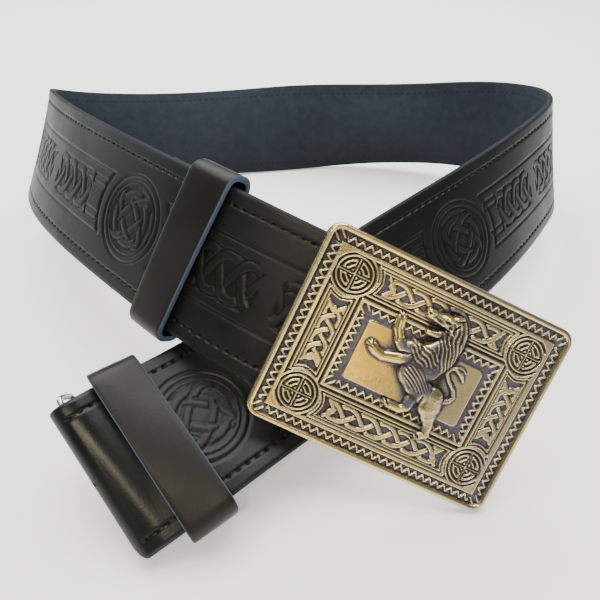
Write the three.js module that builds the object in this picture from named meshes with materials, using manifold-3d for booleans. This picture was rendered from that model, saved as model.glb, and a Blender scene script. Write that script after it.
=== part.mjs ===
// Kilt belt: a wide leather strap standing on its lower edge in a loop, with a cast plate buckle
// hinged on one folded end and a wire catch loop in the other folded end. Millimetres, +Z up,
// origin under the middle of the belt on the surface it stands on.
import * as THREE from 'three';
import { mergeVertices } from 'three/addons/utils/BufferGeometryUtils.js';
import Module from 'manifold-3d';

const wasm = await Module();
wasm.setup();

// Strap
const STRAP_WIDTH = 57;
const STRAP_THICKNESS = 3.4;
const STRAP_EDGE_BEVEL = 0.8;
const BUCKLE_LEG = 448; // along the strap from the middle of the back to the buckle's bar
const HOOK_LEG = 476; // the same to the bar of the catch loop
const STRAP_STEP = 8;
const FOLD_STEPS = 7;
const SEAT_GAP = 0.35; // between leather or metal that touch on the real belt
const TAIL_GAP = 0.5; // between the strap and a tail folded back on it
const TAIL_CLOSING = 22; // the tail comes in from its fold to the strap over this length
const BUCKLE_TAIL = 84;
const HOOK_TAIL = 50;
const HOOK_TAIL_TRIM = 5.5; // cut off its lower edge, where the catch loop passes
const TRIM_FROM = 30; // degrees round the fold over which the tail narrows
const TRIM_TO = 95;

// How the back of the belt stands, in degrees
const BACK_YAW = -3.6;
const BACK_LEAN = 12;
const BACK_SLOPE = -5.4;

// Shape of the strap along each leg. share: of the leg's length from the middle of the back.
// bend: degrees that it closes the loop, and twist: degrees that its outer face tips, both
// for each tenth of the leg.
const BUCKLE_LEG_SHAPE = [
  { share: 0, bend: 10.3, twist: -22 },
  { share: 0.18, bend: 5.8, twist: 0.5 },
  { share: 0.29, bend: 26, twist: 8 },
  { share: 0.357, bend: 66, twist: 8 },
  { share: 0.424, bend: 46, twist: 23.5 },
  { share: 0.502, bend: 6.5, twist: 3.7 },
  { share: 0.647, bend: 11.4, twist: -0.9 },
  { share: 0.804, bend: 3.2, twist: 0.6 },
  { share: 0.938, bend: 31, twist: 10 },
  { share: 0.972, bend: 23.7, twist: -4.2 },
  { share: 1, bend: 2.3, twist: -9 },
];
const HOOK_LEG_SHAPE = [
  { share: 0, bend: 11, twist: 23.5 },
  { share: 0.168, bend: 1.8, twist: -3.4 },
  { share: 0.273, bend: 54, twist: -25.8 },
  { share: 0.336, bend: 47, twist: 24.6 },
  { share: 0.399, bend: 50, twist: 12.6 },
  { share: 0.473, bend: 7.4, twist: 5.5 },
  { share: 0.609, bend: 9.8, twist: 9.1 },
  { share: 0.756, bend: 1.4, twist: 19 },
  { share: 0.85, bend: -13.5, twist: 13.9 },
  { share: 0.92, bend: 7.9, twist: -2.4 },
  { share: 0.96, bend: 21.7, twist: -28.7 },
  { share: 1, bend: 3, twist: -18.3 },
];

// Keepers
const KEEPER_WIDTH = 17;
const KEEPER_WALL = 2.4;
const KEEPER_SIDE_GAP = 2.2;
const KEEPER_FRONT_GAP = 1.4;
const KEEPER_BACK_GAP = 0.95;
const KEEPER_EDGE_BEVEL = 0.5;
const KEEPER_CORNER = 4.5; // bend in the middle of its wall
const KEEPER_CORNER_STEPS = 4;
const BUCKLE_KEEPER_TO_BAR = 59;
const BUCKLE_KEEPER_SKEW = 0.064; // run along the strap for each rise across it
const HOOK_KEEPER_SKEW = 0;
const HOOK_KEEPER_TO_BAR = 20;

// Buckle plate
const PLATE_LENGTH = 90;
const PLATE_HEIGHT = 70;
const PLATE_THICKNESS = 2.2;
const PLATE_CORNER = 5;
const PLATE_DROP = 1.7; // the plate hangs a little lower than the middle of the strap
const PLATE_TURN = 3.5; // degrees that the plate stands off the run of the strap's end
const PLATE_TO_STRAP = 2.4;
const RIM_WIDTH = 2.2;
const RIM_HEIGHT = 1.3;
const RELIEF_HEIGHT = 0.9;
const STRAND_HEIGHT = 0.75; // lower than the lines round it
const ZIGZAG_HEIGHT = 0.65;
const ZIGZAG_BAND = 3.3;
const ZIGZAG_PITCH = 2.9;
const ZIGZAG_LINE = 0.75;
const ZIGZAG_CLEAR = 0.3; // plain metal beside a zigzag in its band
const ZIGZAG_BAR = 0.8; // length and width of a bar across a corner, as a share of the zigzag's
const MITRE_LIMIT = 0.6; // how sharp a bend in a line stays full width
const BORDER_LINE = 1.5;
const PANEL_LINE = 0.8;
const ROUNDEL_RADIUS = 6.9;
const ROUNDEL_RING = 1;
const ROUNDEL_SPACE = 1.2; // between a roundel's outer and inner ring
const ROUNDEL_SINK = 0.6; // how far a roundel reaches into the border line beside it
const INNER_LINE = 1.2;
const FIELD_LENGTH = 43;
const FIELD_HEIGHT = 21.5;
const FIELD_CORNER = 1.6;
const LINE_CORNER = 0.5;
const FIELD_RAISE = 0.5;
const STRAND_WIDTH = 1.3;
const STRAND_STEPS = 5; // straight stretches in each wave of a strand
const PLAIT_MARGIN = 1.7;
const PLAIT_WAVE = 2.2; // length of a wave, in heights of its panel
const PANEL_GAP = 0.3; // between a panel and what it lies between
const LION_HEIGHT = 42;
const LION_LIFT = 1;
const LION_FULLNESS = 0.7; // height of a limb above its sides, as a share of its radius
const LIMB_END = { reach: 0.8, radius: 0.5 }; // how a limb rounds off, as shares of its last radius

// Buckle fittings on the back of the plate
const BAR_RADIUS = 1.75;
const BAR_SIDES = 14;
const BAR_INSET = 14;
const POST_WIDTH = 3;
const POST_GAP = 0.8;
const HOOK_INSET = 10;
const HOOK_WIDTH = 14;
const HOOK_REACH = 13;
const HOOK_THICKNESS = 2;
const HOOK_THROAT = 4.6;
const SINK = 0.5; // how deep a raised form is rooted in the metal below it
const MERGE_DISTANCE = 1e-4;

// Catch loop
const CATCH_WIRE_RADIUS = 1.15;
const CATCH_SIDE_GAP = 0.5;
const CATCH_INSET = 2.5; // how far the lower arm stays inside the strap's lower edge
const CATCH_SPAN = 7.5;
const CATCH_SWING = 65; // degrees from the strap's run to the loop, which lies back behind the end
const CATCH_CORNER = 2;
const CATCH_SIDES = 8; // flat sides of the round wire

// Colours and finishes
const BLACK_LEATHER = new THREE.MeshStandardMaterial({ color: 0x23252a, roughness: 0.55, metalness: 0 });
const ANTIQUE_BRASS = new THREE.MeshStandardMaterial({ color: 0x9c8a52, roughness: 0.35, metalness: 1 });
const STEEL_WIRE = new THREE.MeshStandardMaterial({ color: 0xb9bcb8, roughness: 0.3, metalness: 1 });

const Z = new THREE.Vector3(0, 0, 1);
const radians = THREE.MathUtils.degToRad;

// A closed mesh from positions and triangles, with its faces pointing out.
function solid(points, triangles) {
  let volume = 0;
  for (const [a, b, c] of triangles) {
    volume += points[a].dot(new THREE.Vector3().crossVectors(points[b], points[c]));
  }
  const facing = volume < 0 ? triangles.map(([a, b, c]) => [a, c, b]) : triangles;
  const numbers = points.flatMap((p) => [p.x, p.y, p.z]);
  const geometry = new THREE.BufferGeometry();
  geometry.setAttribute('position', new THREE.Float32BufferAttribute(numbers, 3));
  geometry.setIndex(facing.flat());
  return geometry;
}

// A body through rings of equal point count, capped at its ends or closed on itself.
function loft(rings, closed = false) {
  const count = rings[0].length;
  const triangles = [];
  const spans = closed ? rings.length : rings.length - 1;
  for (let r = 0; r < spans; r++) {
    const here = r * count;
    const next = ((r + 1) % rings.length) * count;
    for (let i = 0; i < count; i++) {
      const j = (i + 1) % count;
      triangles.push([here + i, next + i, next + j], [here + i, next + j, here + j]);
    }
  }
  if (!closed) {
    const last = (rings.length - 1) * count;
    for (let i = 1; i < count - 1; i++) {
      triangles.push([0, i, i + 1], [last, last + i + 1, last + i]);
    }
  }
  return solid(rings.flat(), triangles);
}

// A rectangle's outline with bevelled corners and a point in the middle of its long sides.
function bevelled(width, height, bevel) {
  const w = width / 2;
  const h = height / 2;
  return [
    [-w + bevel, h], [0, h], [w - bevel, h], [w, h - bevel], [w, -h + bevel],
    [w - bevel, -h], [0, -h], [-w + bevel, -h], [-w, -h + bevel], [-w, h - bevel],
  ];
}

// Booleans
function manifoldOf(geometry) {
  const bare = new THREE.BufferGeometry();
  bare.setAttribute('position', geometry.getAttribute('position'));
  bare.setIndex(geometry.getIndex());
  const merged = mergeVertices(bare, MERGE_DISTANCE);
  const index = Array.from(merged.getIndex().array);
  const triangles = [];
  for (let i = 0; i < index.length; i += 3) {
    const [a, b, c] = index.slice(i, i + 3);
    if (a !== b && b !== c && c !== a) {
      triangles.push(a, b, c);
    }
  }
  return new wasm.Manifold(new wasm.Mesh({
    numProp: 3,
    vertProperties: new Float32Array(merged.getAttribute('position').array),
    triVerts: new Uint32Array(triangles),
  }));
}

function geometryOf(manifold) {
  const mesh = manifold.getMesh();
  const geometry = new THREE.BufferGeometry();
  geometry.setAttribute('position', new THREE.BufferAttribute(new Float32Array(mesh.vertProperties), 3));
  geometry.setIndex(new THREE.BufferAttribute(new Uint32Array(mesh.triVerts), 1));
  return geometry;
}

function joined(geometries) {
  return geometryOf(geometries.map(manifoldOf).reduce((whole, piece) => whole.add(piece)));
}

// The strap's outer face along one leg, as a frame every millimetre or so: a point on its middle
// line, the way along it, up across its width, and out from the loop.
function walk(start, length, shape) {
  const steps = Math.round(length);
  const step = length / steps;
  const hand = Math.sign(new THREE.Vector3().crossVectors(start.along, start.up).dot(start.out));
  const frames = [start];
  let frame = start;
  for (let i = 0; i < steps; i++) {
    const share = (i + 0.5) / steps;
    const next = Math.min(shape.findIndex((row) => row.share >= share), shape.length - 1);
    const a = shape[next - 1];
    const b = shape[next];
    const t = (share - a.share) / (b.share - a.share);
    const perStep = radians(10 / steps);
    const bend = THREE.MathUtils.lerp(a.bend, b.bend, t) * perStep * hand;
    const twist = -THREE.MathUtils.lerp(a.twist, b.twist, t) * perStep * hand;
    const turn = frame.up.clone().multiplyScalar(bend).addScaledVector(frame.along, twist);
    const angle = turn.length();
    const axis = turn.normalize();
    const along = frame.along.clone().applyAxisAngle(axis, angle);
    frame = {
      point: frame.point.clone().addScaledVector(frame.along.clone().add(along), step / 2),
      along,
      up: frame.up.clone().applyAxisAngle(axis, angle),
      out: frame.out.clone().applyAxisAngle(axis, angle),
    };
    frames.push(frame);
  }
  return { length, frames };
}

function frameAt(leg, s) {
  const place = THREE.MathUtils.clamp(s / leg.length, 0, 1) * (leg.frames.length - 1);
  const low = Math.min(Math.floor(place), leg.frames.length - 2);
  const t = place - low;
  const a = leg.frames[low];
  const b = leg.frames[low + 1];
  return {
    point: a.point.clone().lerp(b.point, t),
    along: a.along.clone().lerp(b.along, t).normalize(),
    up: a.up.clone().lerp(b.up, t).normalize(),
    out: a.out.clone().lerp(b.out, t).normalize(),
  };
}

// A point v up across the strap and n out from its outer face.
function placed(frame, v, n) {
  return frame.point.clone().addScaledVector(frame.up, v).addScaledVector(frame.out, n);
}

// The way from one direction towards another at right angles to it.
function turned(from, to, angle) {
  return from.clone().multiplyScalar(Math.cos(angle)).addScaledVector(to, Math.sin(angle));
}

function backFrames() {
  const yaw = radians(BACK_YAW);
  const left = new THREE.Vector3(-Math.cos(yaw), -Math.sin(yaw), 0);
  const away = new THREE.Vector3(-Math.sin(yaw), Math.cos(yaw), 0);
  const slope = radians(BACK_SLOPE);
  const along = turned(left, Z, slope);
  const rise = turned(Z, left, -slope);
  const lean = radians(BACK_LEAN);
  const up = turned(rise, away, lean);
  const out = turned(away, rise, -lean);
  const point = up.clone().multiplyScalar(STRAP_WIDTH / 2);
  return [{ point, along, up, out }, { point, along: along.clone().negate(), up, out }];
}

const [toBuckle, toHook] = backFrames();
const buckleLeg = walk(toBuckle, BUCKLE_LEG, BUCKLE_LEG_SHAPE);
const hookLeg = walk(toHook, HOOK_LEG, HOOK_LEG_SHAPE);

// Strap: one leather band whose ends fold round the buckle's bar and the catch loop's bar
const strapSection = bevelled(STRAP_WIDTH, STRAP_THICKNESS, STRAP_EDGE_BEVEL);

function strapRing(point, up, face, trim = 0) {
  const middle = point.clone().addScaledVector(face, -STRAP_THICKNESS / 2);
  return strapSection.map(([v, n]) => (
    middle.clone().addScaledVector(up, v < 0 ? v + trim : v).addScaledVector(face, n)));
}

function legRings(leg) {
  const steps = Math.round(leg.length / STRAP_STEP);
  return Array.from({ length: steps + 1 }, (_, i) => {
    const frame = frameAt(leg, (leg.length * i) / steps);
    return strapRing(frame.point, frame.up, frame.out);
  });
}

// Space between the strap's inner face and the tail, at a distance back from the fold.
function tailSpace(back, barRadius) {
  const open = 2 * (barRadius + SEAT_GAP);
  return THREE.MathUtils.lerp(open, TAIL_GAP, THREE.MathUtils.smoothstep(back, 0, TAIL_CLOSING));
}

function foldAndTailRings(leg, barRadius, tail, trim) {
  const end = frameAt(leg, leg.length);
  const radius = barRadius + SEAT_GAP + STRAP_THICKNESS;
  const bar = placed(end, 0, -radius);
  const rings = [];
  for (let i = 1; i < FOLD_STEPS; i++) {
    const round = (180 * i) / FOLD_STEPS;
    const face = turned(end.out, end.along, radians(round));
    const narrower = trim * THREE.MathUtils.smoothstep(round, TRIM_FROM, TRIM_TO);
    rings.push(strapRing(bar.clone().addScaledVector(face, radius), end.up, face, narrower));
  }
  const steps = Math.round(tail / STRAP_STEP);
  for (let i = 0; i <= steps; i++) {
    const back = (tail * i) / steps;
    const frame = frameAt(leg, leg.length - back);
    const depth = 2 * STRAP_THICKNESS + tailSpace(back, barRadius);
    rings.push(strapRing(placed(frame, 0, -depth), frame.up, frame.out.clone().negate(), trim));
  }
  return rings;
}

function strapGeometry() {
  return loft([
    ...foldAndTailRings(buckleLeg, BAR_RADIUS, BUCKLE_TAIL, 0).reverse(),
    ...legRings(buckleLeg).reverse(),
    ...legRings(hookLeg).slice(1),
    ...foldAndTailRings(hookLeg, CATCH_WIRE_RADIUS, HOOK_TAIL, HOOK_TAIL_TRIM),
  ]);
}

// Keeper: a closed leather band with rounded ends, round the strap and its tail
function keeperGeometry(leg, toBar, barRadius, skew) {
  const half = KEEPER_WALL / 2;
  const tailBack = 2 * STRAP_THICKNESS + tailSpace(toBar - KEEPER_WIDTH / 2, barRadius);
  const front = KEEPER_FRONT_GAP + half;
  const back = -(tailBack + KEEPER_BACK_GAP + half);
  const side = STRAP_WIDTH / 2 + KEEPER_SIDE_GAP + half;
  const corners = [
    { v: side - KEEPER_CORNER, n: front - KEEPER_CORNER, heading: 0 },
    { v: -side + KEEPER_CORNER, n: front - KEEPER_CORNER, heading: 90 },
    { v: -side + KEEPER_CORNER, n: back + KEEPER_CORNER, heading: 180 },
    { v: side - KEEPER_CORNER, n: back + KEEPER_CORNER, heading: 270 },
  ];
  const section = bevelled(KEEPER_WIDTH, KEEPER_WALL, KEEPER_EDGE_BEVEL);
  const rings = corners.flatMap(({ v, n, heading }) => (
    Array.from({ length: KEEPER_CORNER_STEPS + 1 }, (_, i) => {
      const angle = radians(heading + (90 * i) / KEEPER_CORNER_STEPS);
      return section.map(([run, rise]) => {
        const reach = KEEPER_CORNER + rise;
        const across = v + reach * Math.cos(angle);
        const frame = frameAt(leg, leg.length - toBar + run + skew * across);
        return placed(frame, across, n + reach * Math.sin(angle));
      });
    })));
  return loft(rings, true);
}

// Plate relief, drawn on the plate's front with x along it and y up
function roundedRectangle(length, height, corner) {
  const x = length / 2;
  const y = height / 2;
  const r = Math.min(corner, x, y);
  const outline = new THREE.Shape();
  outline.moveTo(-x + r, -y);
  outline.lineTo(x - r, -y);
  outline.absarc(x - r, -y + r, r, -Math.PI / 2, 0);
  outline.lineTo(x, y - r);
  outline.absarc(x - r, y - r, r, 0, Math.PI / 2);
  outline.lineTo(-x + r, y);
  outline.absarc(-x + r, y - r, r, Math.PI / 2, Math.PI);
  outline.lineTo(-x, -y + r);
  outline.absarc(-x + r, -y + r, r, Math.PI, 1.5 * Math.PI);
  return outline;
}

function raised(shape, height, curveSegments = 3) {
  const depth = height + SINK;
  return new THREE.ExtrudeGeometry(shape, { depth, bevelEnabled: false, curveSegments })
    .translate(0, 0, PLATE_THICKNESS - SINK);
}

function frameLine(length, height, corner, line) {
  const shape = roundedRectangle(length, height, corner);
  const holeCorner = Math.max(corner - line, LINE_CORNER / 2);
  shape.holes.push(roundedRectangle(length - 2 * line, height - 2 * line, holeCorner));
  return shape;
}

// A band of even width along a line of points.
function bandShape(points, width) {
  const sides = [[], []];
  points.forEach((point, i) => {
    const arriving = point.clone().sub(points[Math.max(i - 1, 0)]).normalize();
    const leaving = points[Math.min(i + 1, points.length - 1)].clone().sub(point).normalize();
    const way = arriving.clone().add(leaving).normalize();
    const edge = i > 0 ? arriving : leaving;
    const half = width / 2 / Math.max(way.dot(edge), MITRE_LIMIT);
    const across = new THREE.Vector2(-way.y, way.x);
    sides[0].push(point.clone().addScaledVector(across, half));
    sides[1].push(point.clone().addScaledVector(across, -half));
  });
  return new THREE.Shape([...sides[0], ...sides[1].reverse()]);
}

// A zigzag along each side of a rectangle, with two short bars across each corner.
function zigzagShapes(length, height, band) {
  const swing = (band - ZIGZAG_LINE / MITRE_LIMIT) / 2;
  const run = (span, turn, away) => {
    const reach = span - 2 * band;
    const teeth = Math.max(2, Math.round(reach / ZIGZAG_PITCH));
    const points = Array.from({ length: 2 * teeth + 1 }, (_, i) => (
      new THREE.Vector2(reach * (i / (2 * teeth) - 0.5), away + (i % 2 === 0 ? swing : -swing))
        .rotateAround(new THREE.Vector2(), radians(turn))));
    return bandShape(points, ZIGZAG_LINE);
  };
  const corner = (sx, sy) => [-1, 1].map((side) => {
    const offset = side * ZIGZAG_LINE;
    const middle = new THREE.Vector2(sx * (length / 2 - offset / 2), sy * (height / 2 + offset / 2));
    const bar = new THREE.Vector2(sx, sy).multiplyScalar(swing * ZIGZAG_BAR);
    return bandShape([middle.clone().sub(bar), middle.clone().add(bar)], ZIGZAG_LINE * ZIGZAG_BAR);
  });
  return [
    run(length, 0, height / 2), run(length, 180, height / 2),
    run(height, 90, length / 2), run(height, 270, length / 2),
    ...corner(1, 1), ...corner(1, -1), ...corner(-1, 1), ...corner(-1, -1),
  ];
}

// Three strands plaited along a panel.
function plaitShapes(length, height) {
  const swing = (height - STRAND_WIDTH) / 2;
  const turns = Math.max(1, Math.round(length / (PLAIT_WAVE * height)));
  const steps = STRAND_STEPS * turns;
  return [0, 1, 2].map((strand) => {
    const points = [];
    for (let i = 0; i <= steps; i++) {
      const share = i / steps;
      const phase = 2 * Math.PI * (turns * share + strand / 3);
      points.push(new THREE.Vector2((share - 0.5) * length, swing * Math.sin(phase)));
    }
    return bandShape(points, STRAND_WIDTH);
  });
}

function roundelParts() {
  const ring = (outer, line) => {
    const shape = new THREE.Shape().absarc(0, 0, outer, 0, 2 * Math.PI);
    shape.holes.push(new THREE.Path().absarc(0, 0, outer - line, 0, 2 * Math.PI));
    return shape;
  };
  const cross = (length, height) => roundedRectangle(length, height, LINE_CORNER / 2);
  const inner = ROUNDEL_RADIUS - ROUNDEL_RING - ROUNDEL_SPACE;
  return [
    raised(ring(ROUNDEL_RADIUS, ROUNDEL_RING), RELIEF_HEIGHT, 6),
    raised(ring(inner, ROUNDEL_RING), RELIEF_HEIGHT, 5),
    raised(cross(2 * inner, ROUNDEL_RING), STRAND_HEIGHT, 1),
    raised(cross(ROUNDEL_RING, 2 * inner), STRAND_HEIGHT, 1),
  ];
}

// The rampant lion. Each limb is a row of stations: x, y and radius as shares of its height.
const LION_LIMBS = {
  body: [
    [0.15, 0.44, 0.08], [0.15, 0.33, 0.11], [0.04, 0.2, 0.125],
    [0.03, 0.05, 0.1], [0.1, -0.05, 0.08], [0.2, -0.13, 0.09],
  ],
  head: [[0.17, 0.48, 0.07], [0.07, 0.5, 0.07], [-0.04, 0.5, 0.05], [-0.13, 0.5, 0.03]],
  jaw: [[0.09, 0.41, 0.04], [-0.05, 0.38, 0.022]],
  upper_foreleg: [[-0.02, 0.16, 0.06], [-0.2, 0.19, 0.045], [-0.26, 0.28, 0.04], [-0.29, 0.38, 0.04]],
  lower_foreleg: [[-0.02, 0.1, 0.055], [-0.23, 0.05, 0.045], [-0.35, 0.01, 0.035], [-0.41, 0.08, 0.035]],
  standing_leg: [
    [0.17, -0.1, 0.09], [0.26, -0.2, 0.07], [0.29, -0.28, 0.045], [0.3, -0.38, 0.035], [0.26, -0.43, 0.035],
  ],
  raised_leg: [
    [0.1, -0.09, 0.07], [0.06, -0.17, 0.05], [0.1, -0.23, 0.04], [0.02, -0.29, 0.035], [-0.09, -0.28, 0.03],
  ],
  tail: [
    [0.27, -0.12, 0.03], [0.38, -0.08, 0.025], [0.36, 0, 0.02], [0.25, 0.07, 0.02],
    [0.22, 0.15, 0.02], [0.28, 0.2, 0.028], [0.38, 0.14, 0.02],
  ],
};

// Half round section of a limb, in radii; a point with no rise is rooted in the plate
const LION_SECTION = [
  { side: -1, rise: null },
  { side: -1, rise: 0.25 },
  { side: -0.45, rise: 1 },
  { side: 0.45, rise: 1 },
  { side: 1, rise: 0.25 },
  { side: 1, rise: null },
];

function limbGeometry(stations) {
  const points = stations.map(([x, y, radius]) => ({
    at: new THREE.Vector2(x, y).multiplyScalar(LION_HEIGHT),
    radius: radius * LION_HEIGHT,
  }));
  const rings = [];
  const ring = (at, way, radius) => {
    const across = new THREE.Vector2(-way.y, way.x);
    rings.push(LION_SECTION.map(({ side, rise }) => {
      const edge = at.clone().addScaledVector(across, radius * side);
      const height = rise === null ? -SINK : LION_LIFT + radius * LION_FULLNESS * rise;
      return new THREE.Vector3(edge.x, edge.y, PLATE_THICKNESS + height);
    }));
  };
  points.forEach(({ at, radius }, i) => {
    const before = points[Math.max(i - 1, 0)].at;
    const after = points[Math.min(i + 1, points.length - 1)].at;
    const way = after.clone().sub(before).normalize();
    if (i === 0) {
      ring(at.clone().addScaledVector(way, -radius * LIMB_END.reach), way, radius * LIMB_END.radius);
    }
    ring(at, way, radius);
    if (i === points.length - 1) {
      ring(at.clone().addScaledVector(way, radius * LIMB_END.reach), way, radius * LIMB_END.radius);
    }
  });
  return loft(rings);
}

function boxBetween(low, high) {
  const size = high.map((value, i) => value - low[i]);
  const centre = high.map((value, i) => (value + low[i]) / 2);
  return new THREE.BoxGeometry(...size).translate(...centre);
}

// Buckle: plate with cast relief, bar and posts for the strap's fold, and a hook for the catch loop
const BAR_DEPTH = PLATE_TO_STRAP + STRAP_THICKNESS + SEAT_GAP + BAR_RADIUS;
const BAR_X = -PLATE_LENGTH / 2 + BAR_INSET;

function plateParts() {
  const plate = new THREE.ExtrudeGeometry(roundedRectangle(PLATE_LENGTH, PLATE_HEIGHT, PLATE_CORNER), {
    depth: PLATE_THICKNESS, bevelEnabled: false, curveSegments: 4,
  });
  const rim = raised(frameLine(PLATE_LENGTH, PLATE_HEIGHT, PLATE_CORNER, RIM_WIDTH), RIM_HEIGHT);
  const outerBand = 2 * RIM_WIDTH + ZIGZAG_BAND;
  const zigzags = [
    ...zigzagShapes(PLATE_LENGTH - outerBand, PLATE_HEIGHT - outerBand, ZIGZAG_BAND - ZIGZAG_CLEAR),
    ...zigzagShapes(FIELD_LENGTH + ZIGZAG_BAND, FIELD_HEIGHT + ZIGZAG_BAND, ZIGZAG_BAND - ZIGZAG_CLEAR),
  ].map((shape) => raised(shape, ZIGZAG_HEIGHT, 1));
  const borderLength = PLATE_LENGTH - 2 * (RIM_WIDTH + ZIGZAG_BAND);
  const borderHeight = PLATE_HEIGHT - 2 * (RIM_WIDTH + ZIGZAG_BAND);
  const borderLine = frameLine(borderLength, borderHeight, LINE_CORNER, BORDER_LINE);
  const border = raised(borderLine, RELIEF_HEIGHT, 1);
  const innerLength = FIELD_LENGTH + 2 * (ZIGZAG_BAND + INNER_LINE);
  const innerHeight = FIELD_HEIGHT + 2 * (ZIGZAG_BAND + INNER_LINE);
  const inner = raised(frameLine(innerLength, innerHeight, LINE_CORNER, INNER_LINE), RELIEF_HEIGHT, 1);
  const field = raised(roundedRectangle(FIELD_LENGTH, FIELD_HEIGHT, FIELD_CORNER), FIELD_RAISE);

  const roundelX = borderLength / 2 - BORDER_LINE - ROUNDEL_RADIUS + ROUNDEL_SINK;
  const roundelY = borderHeight / 2 - BORDER_LINE - ROUNDEL_RADIUS + ROUNDEL_SINK;
  const roundels = [[1, 1], [1, -1], [-1, 1], [-1, -1]].flatMap(([sx, sy]) => (
    roundelParts().map((piece) => piece.translate(sx * roundelX, sy * roundelY, 0))));

  // Plaited panels between the roundels, in the space between the border and the inner frame
  const wide = (borderHeight - innerHeight) / 2 - BORDER_LINE;
  const tall = (borderLength - innerLength) / 2 - BORDER_LINE;
  const longSide = 2 * (roundelX - ROUNDEL_RADIUS);
  const shortSide = 2 * (roundelY - ROUNDEL_RADIUS);
  const panels = [
    { length: longSide, height: wide, turn: 0, at: [0, innerHeight / 2 + wide / 2] },
    { length: longSide, height: wide, turn: 0, at: [0, -innerHeight / 2 - wide / 2] },
    { length: shortSide, height: tall, turn: 90, at: [innerLength / 2 + tall / 2, 0] },
    { length: shortSide, height: tall, turn: 90, at: [-innerLength / 2 - tall / 2, 0] },
  ];
  const plaits = panels.flatMap(({ length, height, turn, at }) => {
    const shapes = [
      frameLine(length - 2 * PANEL_GAP, height - 2 * PANEL_GAP, LINE_CORNER, PANEL_LINE),
      ...plaitShapes(length - 2 * PLAIT_MARGIN, height - 2 * PLAIT_MARGIN),
    ];
    return shapes.map((shape) => (
      raised(shape, STRAND_HEIGHT, 1).rotateZ(radians(turn)).translate(at[0], at[1], 0)));
  });
  const lion = Object.values(LION_LIMBS).map(limbGeometry);
  return [plate, rim, ...zigzags, border, inner, field, ...roundels, ...plaits, ...lion];
}

function fittingParts() {
  const reach = STRAP_WIDTH / 2 + POST_GAP;
  const depth = BAR_DEPTH + BAR_RADIUS;
  const posts = [PLATE_DROP + reach, PLATE_DROP - reach - POST_WIDTH].map((y) => (
    boxBetween([BAR_X - BAR_RADIUS, y, -depth], [BAR_X + BAR_RADIUS, y + POST_WIDTH, SINK])));
  const bar = new THREE.CylinderGeometry(BAR_RADIUS, BAR_RADIUS, 2 * (reach + SINK), BAR_SIDES)
    .translate(BAR_X, PLATE_DROP, -BAR_DEPTH);
  const hookX = PLATE_LENGTH / 2 - HOOK_INSET;
  const hookPost = boxBetween(
    [hookX - HOOK_THICKNESS, -HOOK_WIDTH / 2, -HOOK_THROAT - HOOK_THICKNESS],
    [hookX, HOOK_WIDTH / 2, SINK],
  );
  const tongue = boxBetween(
    [hookX - HOOK_REACH, -HOOK_WIDTH / 2, -HOOK_THROAT - HOOK_THICKNESS],
    [hookX - HOOK_THICKNESS + SINK, HOOK_WIDTH / 2, -HOOK_THROAT],
  );
  return [...posts, bar, hookPost, tongue];
}

// The plate's own axes, turned about its bar from the run of the strap's end.
function buckleMatrix() {
  const end = frameAt(buckleLeg, BUCKLE_LEG);
  const turn = radians(PLATE_TURN);
  const along = turned(end.along, end.out, -turn);
  const out = turned(end.out, end.along, turn);
  const bar = placed(end, 0, -(BAR_RADIUS + SEAT_GAP + STRAP_THICKNESS));
  const basis = new THREE.Matrix4().makeBasis(along, end.up, out);
  const barInPlate = new THREE.Vector3(BAR_X, PLATE_DROP, -BAR_DEPTH).applyMatrix4(basis);
  return basis.setPosition(bar.sub(barInPlate));
}

// Catch loop: a closed ring of round wire, one side of it held in the hook end's fold. Its upper
// arm comes out past the strap's edge, its lower arm passes behind the strap beside the trimmed tail.
function catchLoopGeometry() {
  const end = frameAt(hookLeg, HOOK_LEG);
  const bar = placed(end, 0, -(CATCH_WIRE_RADIUS + SEAT_GAP + STRAP_THICKNESS));
  const back = turned(end.along.clone().negate(), end.out, -radians(CATCH_SWING));
  const face = new THREE.Vector3().crossVectors(end.up, back);
  const top = STRAP_WIDTH / 2 + CATCH_SIDE_GAP + CATCH_WIRE_RADIUS;
  const bottom = -STRAP_WIDTH / 2 + CATCH_INSET + CATCH_WIRE_RADIUS;
  const corners = [
    { v: top - CATCH_CORNER, reach: CATCH_CORNER, heading: -90 },
    { v: top - CATCH_CORNER, reach: CATCH_SPAN - CATCH_CORNER, heading: 0 },
    { v: bottom + CATCH_CORNER, reach: CATCH_SPAN - CATCH_CORNER, heading: 90 },
    { v: bottom + CATCH_CORNER, reach: CATCH_CORNER, heading: 180 },
  ];
  const rings = corners.flatMap(({ v, reach, heading }) => [0, 45, 90].map((sweep) => {
    const turn = radians(heading + sweep);
    return Array.from({ length: CATCH_SIDES }, (_, i) => {
      const angle = (2 * Math.PI * i) / CATCH_SIDES;
      const radial = CATCH_CORNER + CATCH_WIRE_RADIUS * Math.cos(angle);
      return bar.clone()
        .addScaledVector(end.up, v + radial * Math.cos(turn))
        .addScaledVector(back, reach + radial * Math.sin(turn))
        .addScaledVector(face, CATCH_WIRE_RADIUS * Math.sin(angle));
    });
  }));
  return loft(rings, true);
}

function mesh(name, geometry, material) {
  const piece = new THREE.Mesh(geometry, material);
  piece.name = name;
  return piece;
}

const strap = mesh('strap', strapGeometry(), BLACK_LEATHER);
const buckleKeeper = mesh(
  'keeper_buckle_end',
  keeperGeometry(buckleLeg, BUCKLE_KEEPER_TO_BAR, BAR_RADIUS, BUCKLE_KEEPER_SKEW),
  BLACK_LEATHER,
);
const hookKeeper = mesh(
  'keeper_hook_end',
  keeperGeometry(hookLeg, HOOK_KEEPER_TO_BAR, CATCH_WIRE_RADIUS, HOOK_KEEPER_SKEW),
  BLACK_LEATHER,
);
const buckle = mesh('buckle', joined([...plateParts(), ...fittingParts()]), ANTIQUE_BRASS);
buckle.applyMatrix4(buckleMatrix());
const catchLoop = mesh('catch_loop', catchLoopGeometry(), STEEL_WIRE);

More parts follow.
